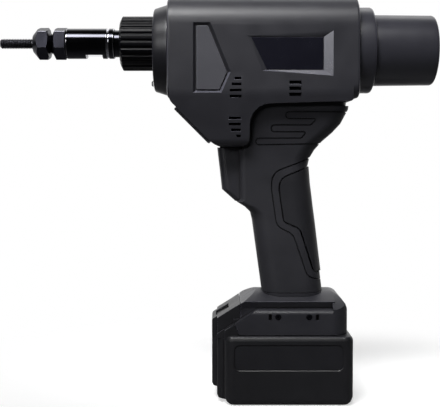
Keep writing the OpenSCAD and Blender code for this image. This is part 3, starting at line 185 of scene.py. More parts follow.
world = bpy.data.worlds.new("white_sweep")
scene.world = world
world.use_nodes = True
sky = world.node_tree
sky.nodes.clear()
path = add(sky, "ShaderNodeLightPath").outputs
toward = add(sky, "ShaderNodeTexCoord").outputs["Generated"]
axes = add(sky, SPLIT, {"Vector": toward}).outputs
sweep = add(sky, RANGE, {"Value": axes["Y"], "From Min": SWEEP[0], "From Max": SWEEP[1], "To Min": ROOM},
            interpolation_type="SMOOTHSTEP")
seen = add(sky, MATH, {0: path["Is Camera Ray"], 1: path["Is Transmission Ray"]}, operation="MAXIMUM")
mirrored = add(sky, MIX, {0: path["Is Glossy Ray"], 2: AMBIENT, 3: sweep}, data_type="FLOAT")
level = add(sky, MIX, {0: seen, 2: mirrored, 3: 1.0}, data_type="FLOAT")
glow = add(sky, "ShaderNodeBackground", {"Color": WHITE, "Strength": level})
add(sky, "ShaderNodeOutputWorld", {"Surface": glow})
scene.view_settings.view_transform = "Standard"
print("world: ambient", AMBIENT, "room", ROOM)

# %% Lay the pale floor
FLOOR_SIZE, FLOOR_GAP = 8.0, 0.05 * MM
NEAR, FAR = 0.12, 0.34
BEHIND = (0.3, 1.2)
LIFT = 0.56
PAPER, PAPER_SEEN = "8c8c8e", "e6e6e6"

half = FLOOR_SIZE / 2
sides = [(-half, -half, 0), (half, -half, 0), (half, half, 0), (-half, half, 0)]
floor_mesh = bpy.data.meshes.new("studio_floor")
floor_mesh.from_pydata(sides, [], [(0, 1, 2, 3)])
floor = bpy.data.objects.new("studio_floor", floor_mesh)
scene.collection.objects.link(floor)
floor.location = (0.0, 0.0, cad_box[0][2] - FLOOR_GAP)

paper = bpy.data.materials.new("white_paper_sweep")
paper.use_nodes = True
sheet = paper.node_tree
sheet.nodes.clear()
rays = add(sheet, "ShaderNodeLightPath").outputs
where = add(sheet, "ShaderNodeTexCoord").outputs["Object"]
out = add(sheet, "ShaderNodeVectorMath", {0: where}, operation="LENGTH").outputs["Value"]
away = add(sheet, RANGE, {"Value": out, "From Min": NEAR, "From Max": FAR},
           interpolation_type="SMOOTHSTEP")
tone = add(sheet, MIX, {0: rays["Is Camera Ray"], 6: linear(PAPER), 7: linear(PAPER_SEEN)},
           data_type="RGBA").outputs[2]
matt = add(sheet, "ShaderNodeBsdfDiffuse", {"Color": tone})
lift = add(sheet, MATH, {0: rays["Is Camera Ray"], 1: LIFT}, operation="MULTIPLY")
lifted = add(sheet, "ShaderNodeEmission", {"Strength": lift})
near_floor = add(sheet, "ShaderNodeAddShader", {0: matt, 1: lifted})
white = add(sheet, "ShaderNodeEmission", {"Strength": 1.0})
watched = add(sheet, MATH, {0: rays["Is Camera Ray"], 1: away}, operation="MULTIPLY")
spot = add(sheet, SPLIT, {0: where}).outputs
behind = add(sheet, RANGE, {"Value": spot["Y"], "From Min": BEHIND[0], "From Max": BEHIND[1]},
             interpolation_type="SMOOTHSTEP")
bounced = add(sheet, MATH, {0: rays["Is Glossy Ray"], 1: rays["Is Transmission Ray"]}, operation="MAXIMUM")
mirror = add(sheet, MATH, {0: bounced, 1: behind}, operation="MULTIPLY")
shown = add(sheet, MATH, {0: watched, 1: mirror}, operation="MAXIMUM")
blended = add(sheet, "ShaderNodeMixShader", {0: shown, 1: near_floor, 2: white})
add(sheet, "ShaderNodeOutputMaterial", {"Surface": blended})
floor_mesh.materials.append(paper)
print("floor", FLOOR_SIZE, "m, white beyond", FAR, "m")

# %% [markdown]
# ## Finishes
#
# One recipe serves the plastics, rubbers and metals. Slow patches shift the tone a little, as handling
# does; a finer grain moves the roughness and lifts the surface. A stretch turns the grain into the rings
# that a lathe leaves. Where a piece has eased edges, or a pocket slope faces the light, its mesh carries the
# value "eased", and the finish is smoother and paler there: on edges partly the polish of hands and benches,
# and partly a painted highlight. Elsewhere ambient occlusion paints shade into tight grooves and recesses.

# %% The recipe for a finish
PATCH_MM, PATCH_DETAIL = 14.0, 5.0
GRAIN_DETAIL, GRAIN_SPAN = 3.0, (0.1, 0.45)
# Painted shade: ambient occlusion over this reach pulls grooves, recesses and joints towards a near-black
# tone.
CREVICE_MM, CREVICE_RAYS = 1.6, 8
CREVICE_SHADE = "060607"
OPEN_SKY = (0.35, 0.9)
POLISH = 0.4
finishes = {}


def finish(slot, name, tones, rough, grain_mm, relief_mm, stretch=(1.0, 1.0, 1.0), **sockets):
    """A procedural material: tones are (deep, pale, edge) hex colours, rough is (low, high)."""
    made = bpy.data.materials.new(name)
    made.use_nodes = True
    tree = made.node_tree
    shader = tree.nodes["Principled BSDF"]
    for socket, value in sockets.items():
        shader.inputs[socket.replace("_", " ")].default_value = value
    place = add(tree, "ShaderNodeTexCoord").outputs["Object"]
    lay = add(tree, "ShaderNodeMapping", {"Vector": place, "Scale": stretch})
    patch = add(tree, "ShaderNodeTexNoise", {"Vector": place, "Scale": per_mm(PATCH_MM),
                                             "Detail": PATCH_DETAIL}).outputs["Fac"]
    grain = add(tree, "ShaderNodeTexNoise", {"Vector": lay, "Scale": per_mm(grain_mm),
                                             "Detail": GRAIN_DETAIL}).outputs["Fac"]
    # The paler edge tone on "eased" faces is a painted highlight, and on edges partly wear as well.
    eased = add(tree, "ShaderNodeAttribute", attribute_name="eased").outputs["Fac"]
    deep, pale, edge = (linear(tone) for tone in tones)
    body = add(tree, MIX, {0: patch, 6: deep, 7: pale}, data_type="RGBA").outputs[2]
    colour = add(tree, MIX, {0: eased, 6: body, 7: edge}, data_type="RGBA").outputs[2]
    # Painted shade: where little open sky is found the colour goes to the shade tone; eased faces are
    # spared.
    crevice = add(tree, "ShaderNodeAmbientOcclusion", {"Color": colour, "Distance": CREVICE_MM * MM},
                  samples=CREVICE_RAYS).outputs["AO"]
    bare = add(tree, RANGE, {"Value": crevice, "From Min": OPEN_SKY[0], "From Max": OPEN_SKY[1]})
    unshaded = add(tree, MATH, {0: bare, 1: eased}, operation="MAXIMUM")
    shaded_base = add(tree, MIX, {0: unshaded, 6: linear(CREVICE_SHADE), 7: colour}, data_type="RGBA")
    mixed = add(tree, MATH, {0: grain, 1: patch}, operation="MULTIPLY")
    shine = add(tree, RANGE, {"Value": mixed, "From Min": GRAIN_SPAN[0], "From Max": GRAIN_SPAN[1],
                              "To Min": rough[0], "To Max": rough[1]})
    worn = add(tree, MATH, {0: eased, 1: -POLISH, 2: 1.0}, operation="MULTIPLY_ADD")
    gloss = add(tree, MATH, {0: shine, 1: worn}, operation="MULTIPLY")
    bump = add(tree, "ShaderNodeBump", {"Height": grain, "Strength": 1.0, "Distance": relief_mm * MM})
    tree.links.new(shaded_base.outputs[2], shader.inputs["Base Color"])
    tree.links.new(gloss.outputs[0], shader.inputs["Roughness"])
    tree.links.new(bump.outputs[0], shader.inputs["Normal"])
    finishes[slot] = made
    return shader


print("patches every", PATCH_MM, "mm")

# %% Plastics and rubbers
# Spark-eroded moulds print a fine matt skin on ABS, about 0.1 mm; drawn at 0.7 mm so that it shows.
finish("shell", "spark_eroded_abs", ("29292e", "323238", "56565f"), (0.36, 0.5), 0.7, 0.03,
       Specular_IOR_Level=0.5)
# The pack takes a darker copy of the same plastic: painted shade, since less light reaches it than the body.
finish("pack_shell_shaded", "shaded_spark_eroded_abs", ("1a1a1d", "222226", "38383e"), (0.38, 0.52), 0.7, 0.03,
       Specular_IOR_Level=0.45)
# Overmoulded TPE is softer and duller than the shell, and takes dust in its skin.
finish("rubber", "overmoulded_tpe", ("2b2b2f", "35353a", "4c4c52"), (0.42, 0.58), 0.6, 0.03,
       Specular_IOR_Level=0.3)
# The palm pad is a softer grade and a little blacker, so that the hand does not slip.
finish("palm_rubber", "soft_black_tpe", ("242428", "2d2d31", "44444a"), (0.45, 0.6), 0.6, 0.03,
       Specular_IOR_Level=0.3)
# The latch is acetal, which slides well and is left as moulded.
finish("latch", "black_acetal", ("0c0c0e", "121214", "2c2c30"), (0.35, 0.48), 0.9, 0.01,
       Specular_IOR_Level=0.4)
# The cap, rings and collar are polished in the mould, so a lamp draws a soft band on them.
finish("satin_plastic", "mould_polished_abs", ("2e2e34", "37373e", "50505a"), (0.28, 0.38), 1.2, 0.006,
       Specular_IOR_Level=0.45)
# The collar is turned from a blacker bar of the same plastic.
finish("collar", "black_polished_abs", ("1b1b1f", "222227", "44444c"), (0.3, 0.4), 1.2, 0.006,
       Specular_IOR_Level=0.45)
# The plates are bare black acrylic with a hard clear face.
finish("name_plate", "gloss_black_acrylic", ("13131b", "191923", "2c2c38"), (0.2, 0.28), 3.0, 0.002,
       Specular_IOR_Level=0.4)
# The side panels are a paler ABS in the same skin as the shell.
finish("side_panel", "grey_spark_eroded_abs", ("46464c", "505056", "62626a"), (0.45, 0.6), 0.7, 0.03,
       Specular_IOR_Level=0.35)
# The films in the pack's recesses are bare matt polycarbonate.
finish("film", "matt_black_polycarbonate", ("1c1c20", "222227", "36363c"), (0.4, 0.52), 2.0, 0.01,
       Specular_IOR_Level=0.45)
# Near-black open-cell foam paints the shade in the vents and the trigger slit. Its cells are about 0.5 mm;
# drawn at 0.9 mm.
finish("foam", "shade_black_foam", ("050506", "0c0c0e", "0c0c0e"), (0.9, 1.0), 0.9, 0.3,
       Specular_IOR_Level=0.1)
# Glass-filled nylon of the cell frame shows faint flow marks.
finish("frame_plastic", "glass_filled_nylon", ("b9b8b0", "cfcec6", "dddcd6"), (0.45, 0.6), 0.9, 0.02)
# The rails in the foot are the same nylon, dyed black.
finish("rail", "black_glass_filled_nylon", ("0d0d0f", "131315", "2a2a2e"), (0.45, 0.6), 0.9, 0.02)
finish("seal", "nitrile_seal_rubber", ("3a1a16", "47211b", "55302a"), (0.55, 0.7), 0.5, 0.02)
finish("board", "green_solder_mask", ("12401f", "1b5230", "2f6a45"), (0.25, 0.4), 2.0, 0.01)
finish("cell", "shrink_film_blue", ("28507c", "34608e", "5a82ac"), (0.2, 0.35), 6.0, 0.02)
print(len(finishes), "finishes so far")

# %% Metals
# Turned parts keep rings from the tool about 0.1 mm apart; drawn at 0.35 mm, and only along the axis X.
RINGS = (1.0, 0.03, 0.03)
finish("black_sleeve", "polished_black_nitride", ("303034", "38383d", "d8d8de"), (0.10, 0.17), 0.35, 0.001,
       RINGS, Metallic=1.0)
finish("black_oxide", "black_oxide_steel", ("33333a", "3e3e46", "74747c"), (0.30, 0.46), 0.5, 0.006,
       Metallic=1.0)
# Phosphate is a grey crystal skin that holds oil; the mandrel's thread is rubbed bright by every insert.
finish("phosphate", "oiled_phosphate_steel", ("7a7a80", "8c8c92", "b0b0b6"), (0.34, 0.5), 0.4, 0.004,
       Metallic=1.0)
finish("black_anodised", "black_anodised_aluminium", ("050508", "09090d", "121217"), (0.34, 0.44), 0.35,
       0.001, RINGS, Specular_IOR_Level=0.14)
finish("steel", "ground_steel", ("8f9298", "a9acb1", "d0d2d6"), (0.22, 0.38), 0.35, 0.004, RINGS,
       Metallic=1.0)
finish("aluminium", "machined_aluminium", ("b4b6ba", "c9cbce", "e2e3e5"), (0.28, 0.44), 0.35, 0.004, RINGS,
       Metallic=1.0)
finish("brass", "cut_brass", ("a08344", "b89a58", "d8bf84"), (0.25, 0.4), 0.4, 0.004, RINGS, Metallic=1.0)
finish("magnet", "sintered_ferrite", ("2b2b30", "38383e", "4a4a52"), (0.5, 0.65), 0.4, 0.01)
# Enamelled copper lies in strands of about 0.6 mm along the slots.
finish("windings", "enamelled_copper", ("6e3416", "95502a", "b8703f"), (0.25, 0.4), 0.6, 0.05,
       (0.05, 1.0, 1.0), Metallic=0.8)
print(len(finishes), "finishes")

# %% The clear lens
# Moulded acrylic over the work light: it bends light as window plastic does and keeps a faint mould haze.
clear = finish("lens", "clear_acrylic", ("eef2f4", "f6f9fa", "ffffff"), (0.02, 0.06), 0.8, 0.002,
               Transmission_Weight=1.0, IOR=1.49)
print("lens IOR", clear.inputs["IOR"].default_value)

# %% Dress the CAD nodes that stay as they are
for node, piece in frame["nodes"].items():
    for place in piece.material_slots:
        place.material = finishes[slot_of[node]]
print("materials on", len(frame["nodes"]), "nodes")

# %% [markdown]
# ## Eased edges
#
# A moulded or machined edge is never a knife edge. The CAD meshes come as loose triangles with sharp edges,
# so a copy is welded, its flat triangles are merged, and its sharp outer edges get a narrow round. A Bevel
# modifier can do this too, but the mesh operator also says which faces it made, so they can carry "eased".

# %% Helpers for finished pieces
WELD = 0.002 * MM
FLAT = math.radians(0.04)
CREASE = math.radians(28.0)
CRISP = math.radians(8.0)
ROOM_SHARE = 1.6
RUN_SINE = 0.5
TINY = 1e-18


def settle(piece):
    """Turns what the modifiers show into the piece's own plain mesh."""
    seen = piece.evaluated_get(bpy.context.evaluated_depsgraph_get())
    plain = bpy.data.meshes.new_from_object(seen)
    piece.modifiers.clear()
    piece.data = plain
    return piece


def welded(node):
    """A bmesh copy of a CAD node with its points joined and its flat faces merged."""
    work = bmesh.new()
    work.from_mesh(frame["nodes"][node].data)
    bmesh.ops.remove_doubles(work, verts=work.verts, dist=WELD)
    bmesh.ops.dissolve_limit(work, angle_limit=FLAT, verts=work.verts, edges=work.edges)
    return work


def gap(point, start, end):
    """Distance of a point from a straight edge."""
    run = end - start
    share = (point - start).dot(run) / max(run.length_squared, TINY)
    return (start + max(0.0, min(1.0, share)) * run - point).length


def has_room(edge, width):
    """True where the faces beside an edge can hold a round of this width without crossing anything."""
    a, b = edge.verts[0].co, edge.verts[1].co
    for face in edge.link_faces:
        for other in face.edges:
            c, d = other.verts[0].co, other.verts[1].co
            near = [gap(v.co, a, b) for v in other.verts if v not in edge.verts]
            if len(near) == 2:
                near += [gap(a, c, d), gap(b, c, d)]
            if near and min(near) < width:
                return False
    return True


def runs_on(edge, chosen):
    """True where an edge goes straight on into one that stays sharp, so that a round would have no end."""
    for other in {g for face in edge.link_faces for g in face.edges} - chosen - {edge}:
        for corner in set(other.verts) & set(edge.verts):
            a = edge.other_vert(corner).co - corner.co
            b = other.other_vert(corner).co - corner.co
            if a.cross(b).length <= RUN_SINE * a.length * b.length:
                return True
    return False


def within(edge, boxes):
    """True where an edge lies in one of the boxes (x0, x1, z0, z1), which are in millimetres."""
    return any(all(x0 * MM < v.co.x < x1 * MM and z0 * MM < v.co.z < z1 * MM for v in edge.verts)
               for x0, x1, z0, z1 in boxes)


def edges_to_ease(work, width, parting):
    """The sharp outer edges that can take a round of this width, in whole runs from corner to corner."""
    chosen = {e for e in work.edges if len(e.link_faces) == 2 and e.is_convex and not within(e, parting)
              and e.calc_face_angle() > CREASE and has_room(e, ROOM_SHARE * width)}
    stray = chosen
    while stray:
        stray = {e for e in chosen if runs_on(e, chosen)}
        chosen -= stray
    return [e for e in work.edges if e in chosen]


def stand_in(piece, node):
    """Puts a finished piece in the place of its CAD node."""
    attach(piece, body_of[node])
    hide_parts(node)


def mesh_of(name, work, *slots):
    """Turns a bmesh into a mesh with these finishes and frees it."""
    mesh = bpy.data.meshes.new(name)
    work.to_mesh(mesh)
    work.free()
    for slot in slots:
        mesh.materials.append(finishes[slot])
    return mesh


def piece_of(name, mesh):
    """An object at the origin for a mesh whose place is in its points."""
    piece = bpy.data.objects.new(name, mesh)
    scene.collection.objects.link(piece)
    return piece


def dress(node, work=None, added=(), bright=None):
    """A finished piece for a CAD node: sharp outer edges eased, bright faces marked, other meshes added."""
    work = work or welded(node)
    width = EDGE_MM[node] * MM
    # Faces made by the round and the bright faces are marked for the paler edge tone: wear and painted
    # highlight.
    mark = work.faces.layers.float.new("eased")
    eased = bmesh.ops.bevel(work, geom=edges_to_ease(work, width, PARTING.get(node, ())), offset=width,
                            offset_type="OFFSET", segments=2, profile=0.5, affect="EDGES",
                            clamp_overlap=False)
    for face in eased["faces"]:
        face[mark] = 1.0
    for face in work.faces:
        if bright and bright(face):
            face[mark] = 1.0
    for mesh in added:
        work.from_mesh(mesh)
    for face in work.faces:
        face.smooth = True
    for edge in work.edges:
        limit = CRISP if within(edge, POCKETS.get(node, ())) else CREASE
        edge.smooth = len(edge.link_faces) != 2 or edge.calc_face_angle() < limit
    name = node + "_finished"
    piece = piece_of(name, mesh_of(name, work, finish_of.get(node, slot_of[node])))
    piece.modifiers.new("even_shading", "WEIGHTED_NORMAL").keep_sharp = True
    settle(piece)
    stand_in(piece, node)
    return piece


print("edges over", round(math.degrees(CREASE)), "degrees are eased")

# %% Ease the visible pieces
finish_of = {"side_panel_left": "side_panel", "side_panel_right": "side_panel", "mandrel": "phosphate",
             "pack_tub": "pack_shell_shaded", "pack_lid": "pack_shell_shaded", "latch_button": "latch",
             "palm_pad": "palm_rubber", "front_collar": "collar", "battery_rails": "rail"}
# Boxes x0, x1, z0, z1 in millimetres: groups of slots, a pocket with crisp slopes, a joint that stays tight.
VENTS = [(-46.8, -35.6, 234.6, 252.6), (-47.4, -35.8, 204.8, 222.6), (-1.8, 9.6, 235.8, 249.8)]
PLATE_POCKET = [(-32.0, 34.0, 250.0, 289.0)]
TUB_JOINT = [(-60.0, 60.0, 49.8, 50.3)]
POCKETS = {"casing_left": PLATE_POCKET, "casing_right": PLATE_POCKET}
PARTING = {"pack_tub": TUB_JOINT, "pack_lid": TUB_JOINT}
EDGE_MM = {
    "casing_left": 0.3, "casing_right": 0.3, "grip_left": 0.2, "grip_right": 0.2, "palm_pad": 0.2,
    "side_panel_left": 0.4, "side_panel_right": 0.4, "name_plate_left": 0.15, "name_plate_right": 0.15,
    "chin_plate": 0.8, "front_collar": 0.4, "lock_nut": 0.25, "rear_ring": 0.5,
    "rear_cap": 0.5, "trigger": 0.15, "pack_lid": 0.35, "latch_button": 0.4, "lamp_lens": 0.3,
    "battery_rails": 0.2, "pack_tub": 0.25, "nose_sleeve": 0.25, "mandrel": 0.2, "anvil": 0.2,
    "adjuster_ring": 0.12,
}
# These are worked on further before their edges are eased.
SHAPED = ("pack_tub", "nose_sleeve", "mandrel", "anvil", "adjuster_ring")
SLANT, TILT = (0.4, 0.98), 0.2
POCKET_MM = 3.5


def catches_light(face):
    """True for the slopes of the pockets in the flanks that look up or towards the nose, which take a
    painted highlight.
    """
    (x0, _, z0), (x1, _, z1) = ((v / MM for v in corner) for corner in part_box("side_panel_left"))
    panel = (x0 - POCKET_MM, x1 + POCKET_MM, z0 - POCKET_MM, z1 + POCKET_MM)
    x, y, z = face.normal
    slanted = SLANT[0] < abs(y) < SLANT[1] and z > -TILT / 2 and (z > TILT or x < -TILT)
    return slanted and any(within(e, PLATE_POCKET + [panel]) for e in face.edges)


# In the casings, the pocket slopes that face the light get the paler edge tone as a painted highlight.
for node in EDGE_MM:
    if node not in SHAPED:
        piece = dress(node, bright=catches_light if node in POCKETS else None)
        print(node, len(piece.data.polygons), "faces")

# %% [markdown]
# ## A flared recess and a rubbed sleeve
#
# The recess for the pack's label has slanting walls, which catch the light along its lower edge. CAD cuts
# it straight, so the points of its rim are pushed outwards on the flank. Another Boolean cut would need a
# second tool. The nose sleeve shows bright metal in its groove and on its wrench flat, where tools rub the
# black off.

# %% Flare the recess of the pack
LABEL_RIM = (-41.6 * MM, 41.1 * MM, 27.8 * MM, 46.7 * MM)
RIM_R, FLARE, NEAR_RIM = 4.0 * MM, 0.8 * MM, 0.05 * MM

tub = welded("pack_tub")
x0, x1, z0, z1 = LABEL_RIM
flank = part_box("pack_tub")[1][1]
moved = 0
for vert in tub.verts:
    x, y, z = vert.co
    inside = x0 - NEAR_RIM < x < x1 + NEAR_RIM and z0 - NEAR_RIM < z < z1 + NEAR_RIM
    if inside and abs(abs(y) - flank) < NEAR_RIM:
        core = Vector((min(max(x, x0 + RIM_R), x1 - RIM_R), y, min(max(z, z0 + RIM_R), z1 - RIM_R)))
        vert.co += FLARE * (vert.co - core).normalized()
        moved += 1
dress("pack_tub", tub)
print(moved, "points of the rims pushed out")

# %% Rub the groove and the wrench flat of the sleeve
(SLEEVE_FRONT, _, sleeve_low), (_, SLEEVE_R, sleeve_high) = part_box("nose_sleeve")
GROOVE_X, GROOVE_HALF, GROOVE_FLOOR = SLEEVE_FRONT + 33.2 * MM, 0.65 * MM, 0.9
FLAT_X0, FLAT_X1 = SLEEVE_FRONT + 15.9 * MM, SLEEVE_FRONT + 28.9 * MM
FLAT_DROP, ON_FLAT = 9.6 * MM, 0.065 * MM
sleeve_axis = 0.5 * (sleeve_low + sleeve_high)


def rubbed(face):
    """True for the faces of the sleeve's groove and of its wrench flat."""
    x, y, z = face.calc_center_median()
    in_groove = abs(x - GROOVE_X) < GROOVE_HALF and math.hypot(y, z - sleeve_axis) > GROOVE_FLOOR * SLEEVE_R
    return in_groove or FLAT_X0 < x < FLAT_X1 and abs(sleeve_axis - z - FLAT_DROP) < ON_FLAT


dress("nose_sleeve", bright=rubbed)
print("groove at", round(GROOVE_X / MM, 2), "mm")

# %% [markdown]
# ## Pieces that follow a rule
#
# Threads, flutes, coils and screws repeat, so they are Geometry Nodes trees with named sizes. Each tree is
# evaluated once, becomes a plain mesh and is thrown away. They could be cut with a Screw modifier or copied
# by hand, but a tree keeps the rule in sight: change the pitch, and the thread follows.

# %% Helpers for node trees
def tree_with(name, **sizes):
    """A Geometry Nodes tree with one named input for each size; returns it and its inputs."""
    tree = bpy.data.node_groups.new(name, "GeometryNodeTree")
    tree.interface.new_socket("Geometry", in_out="INPUT", socket_type="NodeSocketGeometry")
    for label, value in sizes.items():
        kind = "NodeSocketInt" if isinstance(value, int) else "NodeSocketFloat"
        tree.interface.new_socket(label, in_out="INPUT", socket_type=kind).default_value = value
    tree.interface.new_socket("Finish", in_out="INPUT", socket_type="NodeSocketMaterial")
    tree.interface.new_socket("Geometry", in_out="OUTPUT", socket_type="NodeSocketGeometry")
    return tree, add(tree, "NodeGroupInput").outputs


def close_tree(tree, geometry, finish_input):
    """Ends a tree: its instances become real and take the finish that is given."""
    real = add(tree, "GeometryNodeRealizeInstances", {"Geometry": geometry})
    painted = add(tree, "GeometryNodeSetMaterial", {"Geometry": real, "Material": finish_input})
    add(tree, "NodeGroupOutput", {"Geometry": painted})


def round_axis(tree, angle, radius):
    """Nodes for the cosine and the sine of an angle, each times a radius."""
    parts = [add(tree, MATH, {0: angle}, operation=kind) for kind in ("COSINE", "SINE")]
    return [add(tree, MATH, {0: part, 1: radius}, operation="MULTIPLY") for part in parts]


def grow(tree, start=None, **sizes):
    """Runs a tree with these sizes, on a mesh to start from, and returns the plain mesh that it makes."""
    holder = bpy.data.objects.new(tree.name, start or bpy.data.meshes.new(tree.name))
    scene.collection.objects.link(holder)
    rule = holder.modifiers.new(tree.name, "NODES")
    rule.node_group = tree
    for item in tree.interface.items_tree:
        if item.in_out == "INPUT" and item.name in sizes:
            rule[item.identifier] = sizes[item.name]
    plain = settle(holder).data
    bpy.data.objects.remove(holder)
    return plain


def islands(node):
    """The lowest and highest corners of each separate solid in a CAD node."""
    work = welded(node)
    left, boxes = set(work.verts), []
    while left:
        group, queue = set(), [min(left, key=lambda v: v.index)]
        while queue:
            vert = queue.pop()
            if vert not in group:
                group.add(vert)
                queue += [edge.other_vert(vert) for edge in vert.link_edges]
        left -= group
        spots = [v.co for v in group]
        boxes.append((Vector([min(c[i] for c in spots) for i in range(3)]),
                      Vector([max(c[i] for c in spots) for i in range(3)])))
    work.free()
    return sorted(boxes, key=lambda pair: tuple(pair[0]))


print("helpers for trees ready")

# %% [markdown]
# ## Threads
#
# The mandrel is an M8 x 1.25 thread and the anvil's neck is M16 x 1.5. A thread is a sheet wrapped round
# the axis and slipped by one pitch a turn, so that its rows run along the helix: every second row is a
# crest. The seam meets itself one turn up and is merged. Rows past the ends are pressed flat, and the last
# ones close the end or the bore. A cylinder with a wave pushed into it also works, but its crests come out
# ragged.

# %% The thread tree
COLUMNS = 48
THREAD_DEPTH = 0.6134
SPARE_ROWS, LIP_ROW, LAST_ROW = 4.0, 1.5, 0.5
JOIN = 0.002 * MM

thread, size = tree_with("cut_thread", Radius=4.0 * MM, Bore=0.0, Pitch=1.25 * MM, Length=20.0 * MM,
                         Chamfer=1.0 * MM, Middle=0.0, Height=0.0)
turns = add(thread, MATH, {0: size["Length"], 1: size["Pitch"]}, operation="DIVIDE")
whole = add(thread, MATH, {0: turns}, operation="CEIL")
last = add(thread, MATH, {0: whole, 1: SPARE_ROWS}, operation="ADD")
span = add(thread, MATH, {0: last, 1: 2.0}, operation="MULTIPLY")
rows = add(thread, MATH, {0: span, 1: 1.0}, operation="ADD")
sheet = add(thread, "GeometryNodeMeshGrid", {"Size X": 2.0 * math.pi, "Size Y": span,
                                             "Vertices X": COLUMNS + 1, "Vertices Y": rows})
at = add(thread, SPLIT, {0: add(thread, POSITION)}).outputs
slip = add(thread, MATH, {0: at["X"], 1: 1.0 / math.pi, 2: at["Y"]}, operation="MULTIPLY_ADD")
half_pitch = add(thread, MATH, {0: size["Pitch"], 1: 0.5}, operation="MULTIPLY")
climb = add(thread, MATH, {0: slip, 1: half_pitch}, operation="MULTIPLY")
half_long = add(thread, MATH, {0: size["Length"], 1: 0.5}, operation="MULTIPLY")
low = add(thread, MATH, {0: half_long, 1: -1.0}, operation="MULTIPLY")
level = add(thread, "ShaderNodeClamp", {"Value": climb, "Min": low, "Max": half_long})
count = add(thread, MATH, {0: at["Y"], 1: 0.5}, operation="MULTIPLY")
share = add(thread, MATH, {0: count}, operation="FRACT")
root = add(thread, MATH, {0: share, 1: 2.0}, operation="MULTIPLY")
deep = add(thread, MATH, {0: size["Pitch"], 1: THREAD_DEPTH}, operation="MULTIPLY")
sunk = add(thread, MATH, {0: root, 1: deep}, operation="MULTIPLY")
flank = add(thread, MATH, {0: size["Radius"], 1: sunk}, operation="SUBTRACT")
from_middle = add(thread, MATH, {0: level}, operation="ABSOLUTE")
to_end = add(thread, MATH, {0: half_long, 1: from_middle}, operation="SUBTRACT")
nose = add(thread, MATH, {0: size["Radius"], 1: size["Chamfer"]}, operation="SUBTRACT")
taper = add(thread, MATH, {0: nose, 1: to_end}, operation="ADD")
outer = add(thread, MATH, {0: flank, 1: taper}, operation="MINIMUM")
row = add(thread, MATH, {0: at["Y"]}, operation="ABSOLUTE")
from_last = add(thread, MATH, {0: last, 1: row}, operation="SUBTRACT")
is_lip = add(thread, MATH, {0: from_last, 1: LIP_ROW}, operation="LESS_THAN")
radius = add(thread, MIX, {0: is_lip, 2: outer, 3: size["Bore"]}, data_type="FLOAT")
is_last = add(thread, MATH, {0: from_last, 1: LAST_ROW}, operation="LESS_THAN")
is_tube = add(thread, MATH, {0: size["Bore"], 1: 0.0}, operation="GREATER_THAN")
in_bore = add(thread, MATH, {0: is_last, 1: is_tube}, operation="MULTIPLY")
height = add(thread, MIX, {0: in_bore, 2: level, 3: 0.0}, data_type="FLOAT")
across, beside = round_axis(thread, at["X"], radius)
wrapped = add(thread, JOIN_XYZ, {"X": across, "Y": beside, "Z": height})
moved = add(thread, "GeometryNodeSetPosition", {"Geometry": sheet, "Position": wrapped})
joined = add(thread, "GeometryNodeMergeByDistance", {"Geometry": moved, "Distance": JOIN})
centre = add(thread, JOIN_XYZ, {"X": size["Middle"], "Z": size["Height"]})
laid = add(thread, "GeometryNodeTransform", {"Geometry": joined, "Translation": centre,
                                             "Rotation": (0.0, -math.pi / 2, 0.0)})
close_tree(thread, laid, size["Finish"])
print(len(thread.nodes), "nodes in the thread tree")

# %% Cut the threads on the mandrel and the anvil
AXIS_Z = 0.5 * (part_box("mandrel")[0][2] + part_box("mandrel")[1][2])
ANVIL_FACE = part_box("anvil")[0][0]
ANVIL_L, NECK_L, SINK, RIM_STEP = 12.8 * MM, 9.0 * MM, 0.2 * MM, 0.5 * MM
SHANK_X = ANVIL_FACE - 0.3 * MM


def keep_side(work, x, rear):
    """Cuts a mesh straight across at x, keeps its rear or front part and closes the cut."""
    everything = work.verts[:] + work.edges[:] + work.faces[:]
    cut = bmesh.ops.bisect_plane(work, geom=everything, dist=WELD, plane_co=(x, 0.0, 0.0),
                                 plane_no=(1.0, 0.0, 0.0), clear_inner=rear, clear_outer=not rear)
    rim = [e for e in cut["geom_cut"] if isinstance(e, bmesh.types.BMEdge)]
    widths = {round(math.hypot(e.verts[0].co.y, e.verts[0].co.z - AXIS_Z) / RIM_STEP) for e in rim}
    if len(widths) > 1:
        bmesh.ops.bridge_loops(work, edges=rim)
    else:
        bmesh.ops.edgeloop_fill(work, edges=rim)
    return work


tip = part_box("mandrel")[0][0]
m8 = grow(thread, Radius=4.0 * MM, Pitch=1.25 * MM, Length=SHANK_X + SINK - tip, Chamfer=1.0 * MM,
          Middle=0.5 * (tip + SHANK_X + SINK), Height=AXIS_Z, Finish=finishes["phosphate"])
dress("mandrel", keep_side(welded("mandrel"), SHANK_X, True), [m8])
neck_x = ANVIL_FACE + ANVIL_L
m16 = grow(thread, Radius=8.0 * MM, Bore=4.3 * MM, Pitch=1.5 * MM, Length=NECK_L, Chamfer=0.3 * MM,
           Middle=neck_x + 0.5 * NECK_L, Height=AXIS_Z, Finish=finishes["black_oxide"])
tail = mesh_of("anvil_tail", keep_side(welded("anvil"), neck_x + NECK_L - SINK, True))
dress("anvil", keep_side(welded("anvil"), neck_x + SINK, False), [m16, tail])
print("threads:", len(m8.polygons), "and", len(m16.polygons), "faces")

# %% [markdown]
# ## The stroke adjuster ring
#
# The ring is turned aluminium with flutes milled along it for the fingers, then anodised black. Its profile
# is a loop of points, and the tree wraps one copy of the loop round the axis for each small angle. Where an
# angle falls in a flute, the cutter's circle limits the radius. Cutting rods out with a Boolean gives the
# same shape.

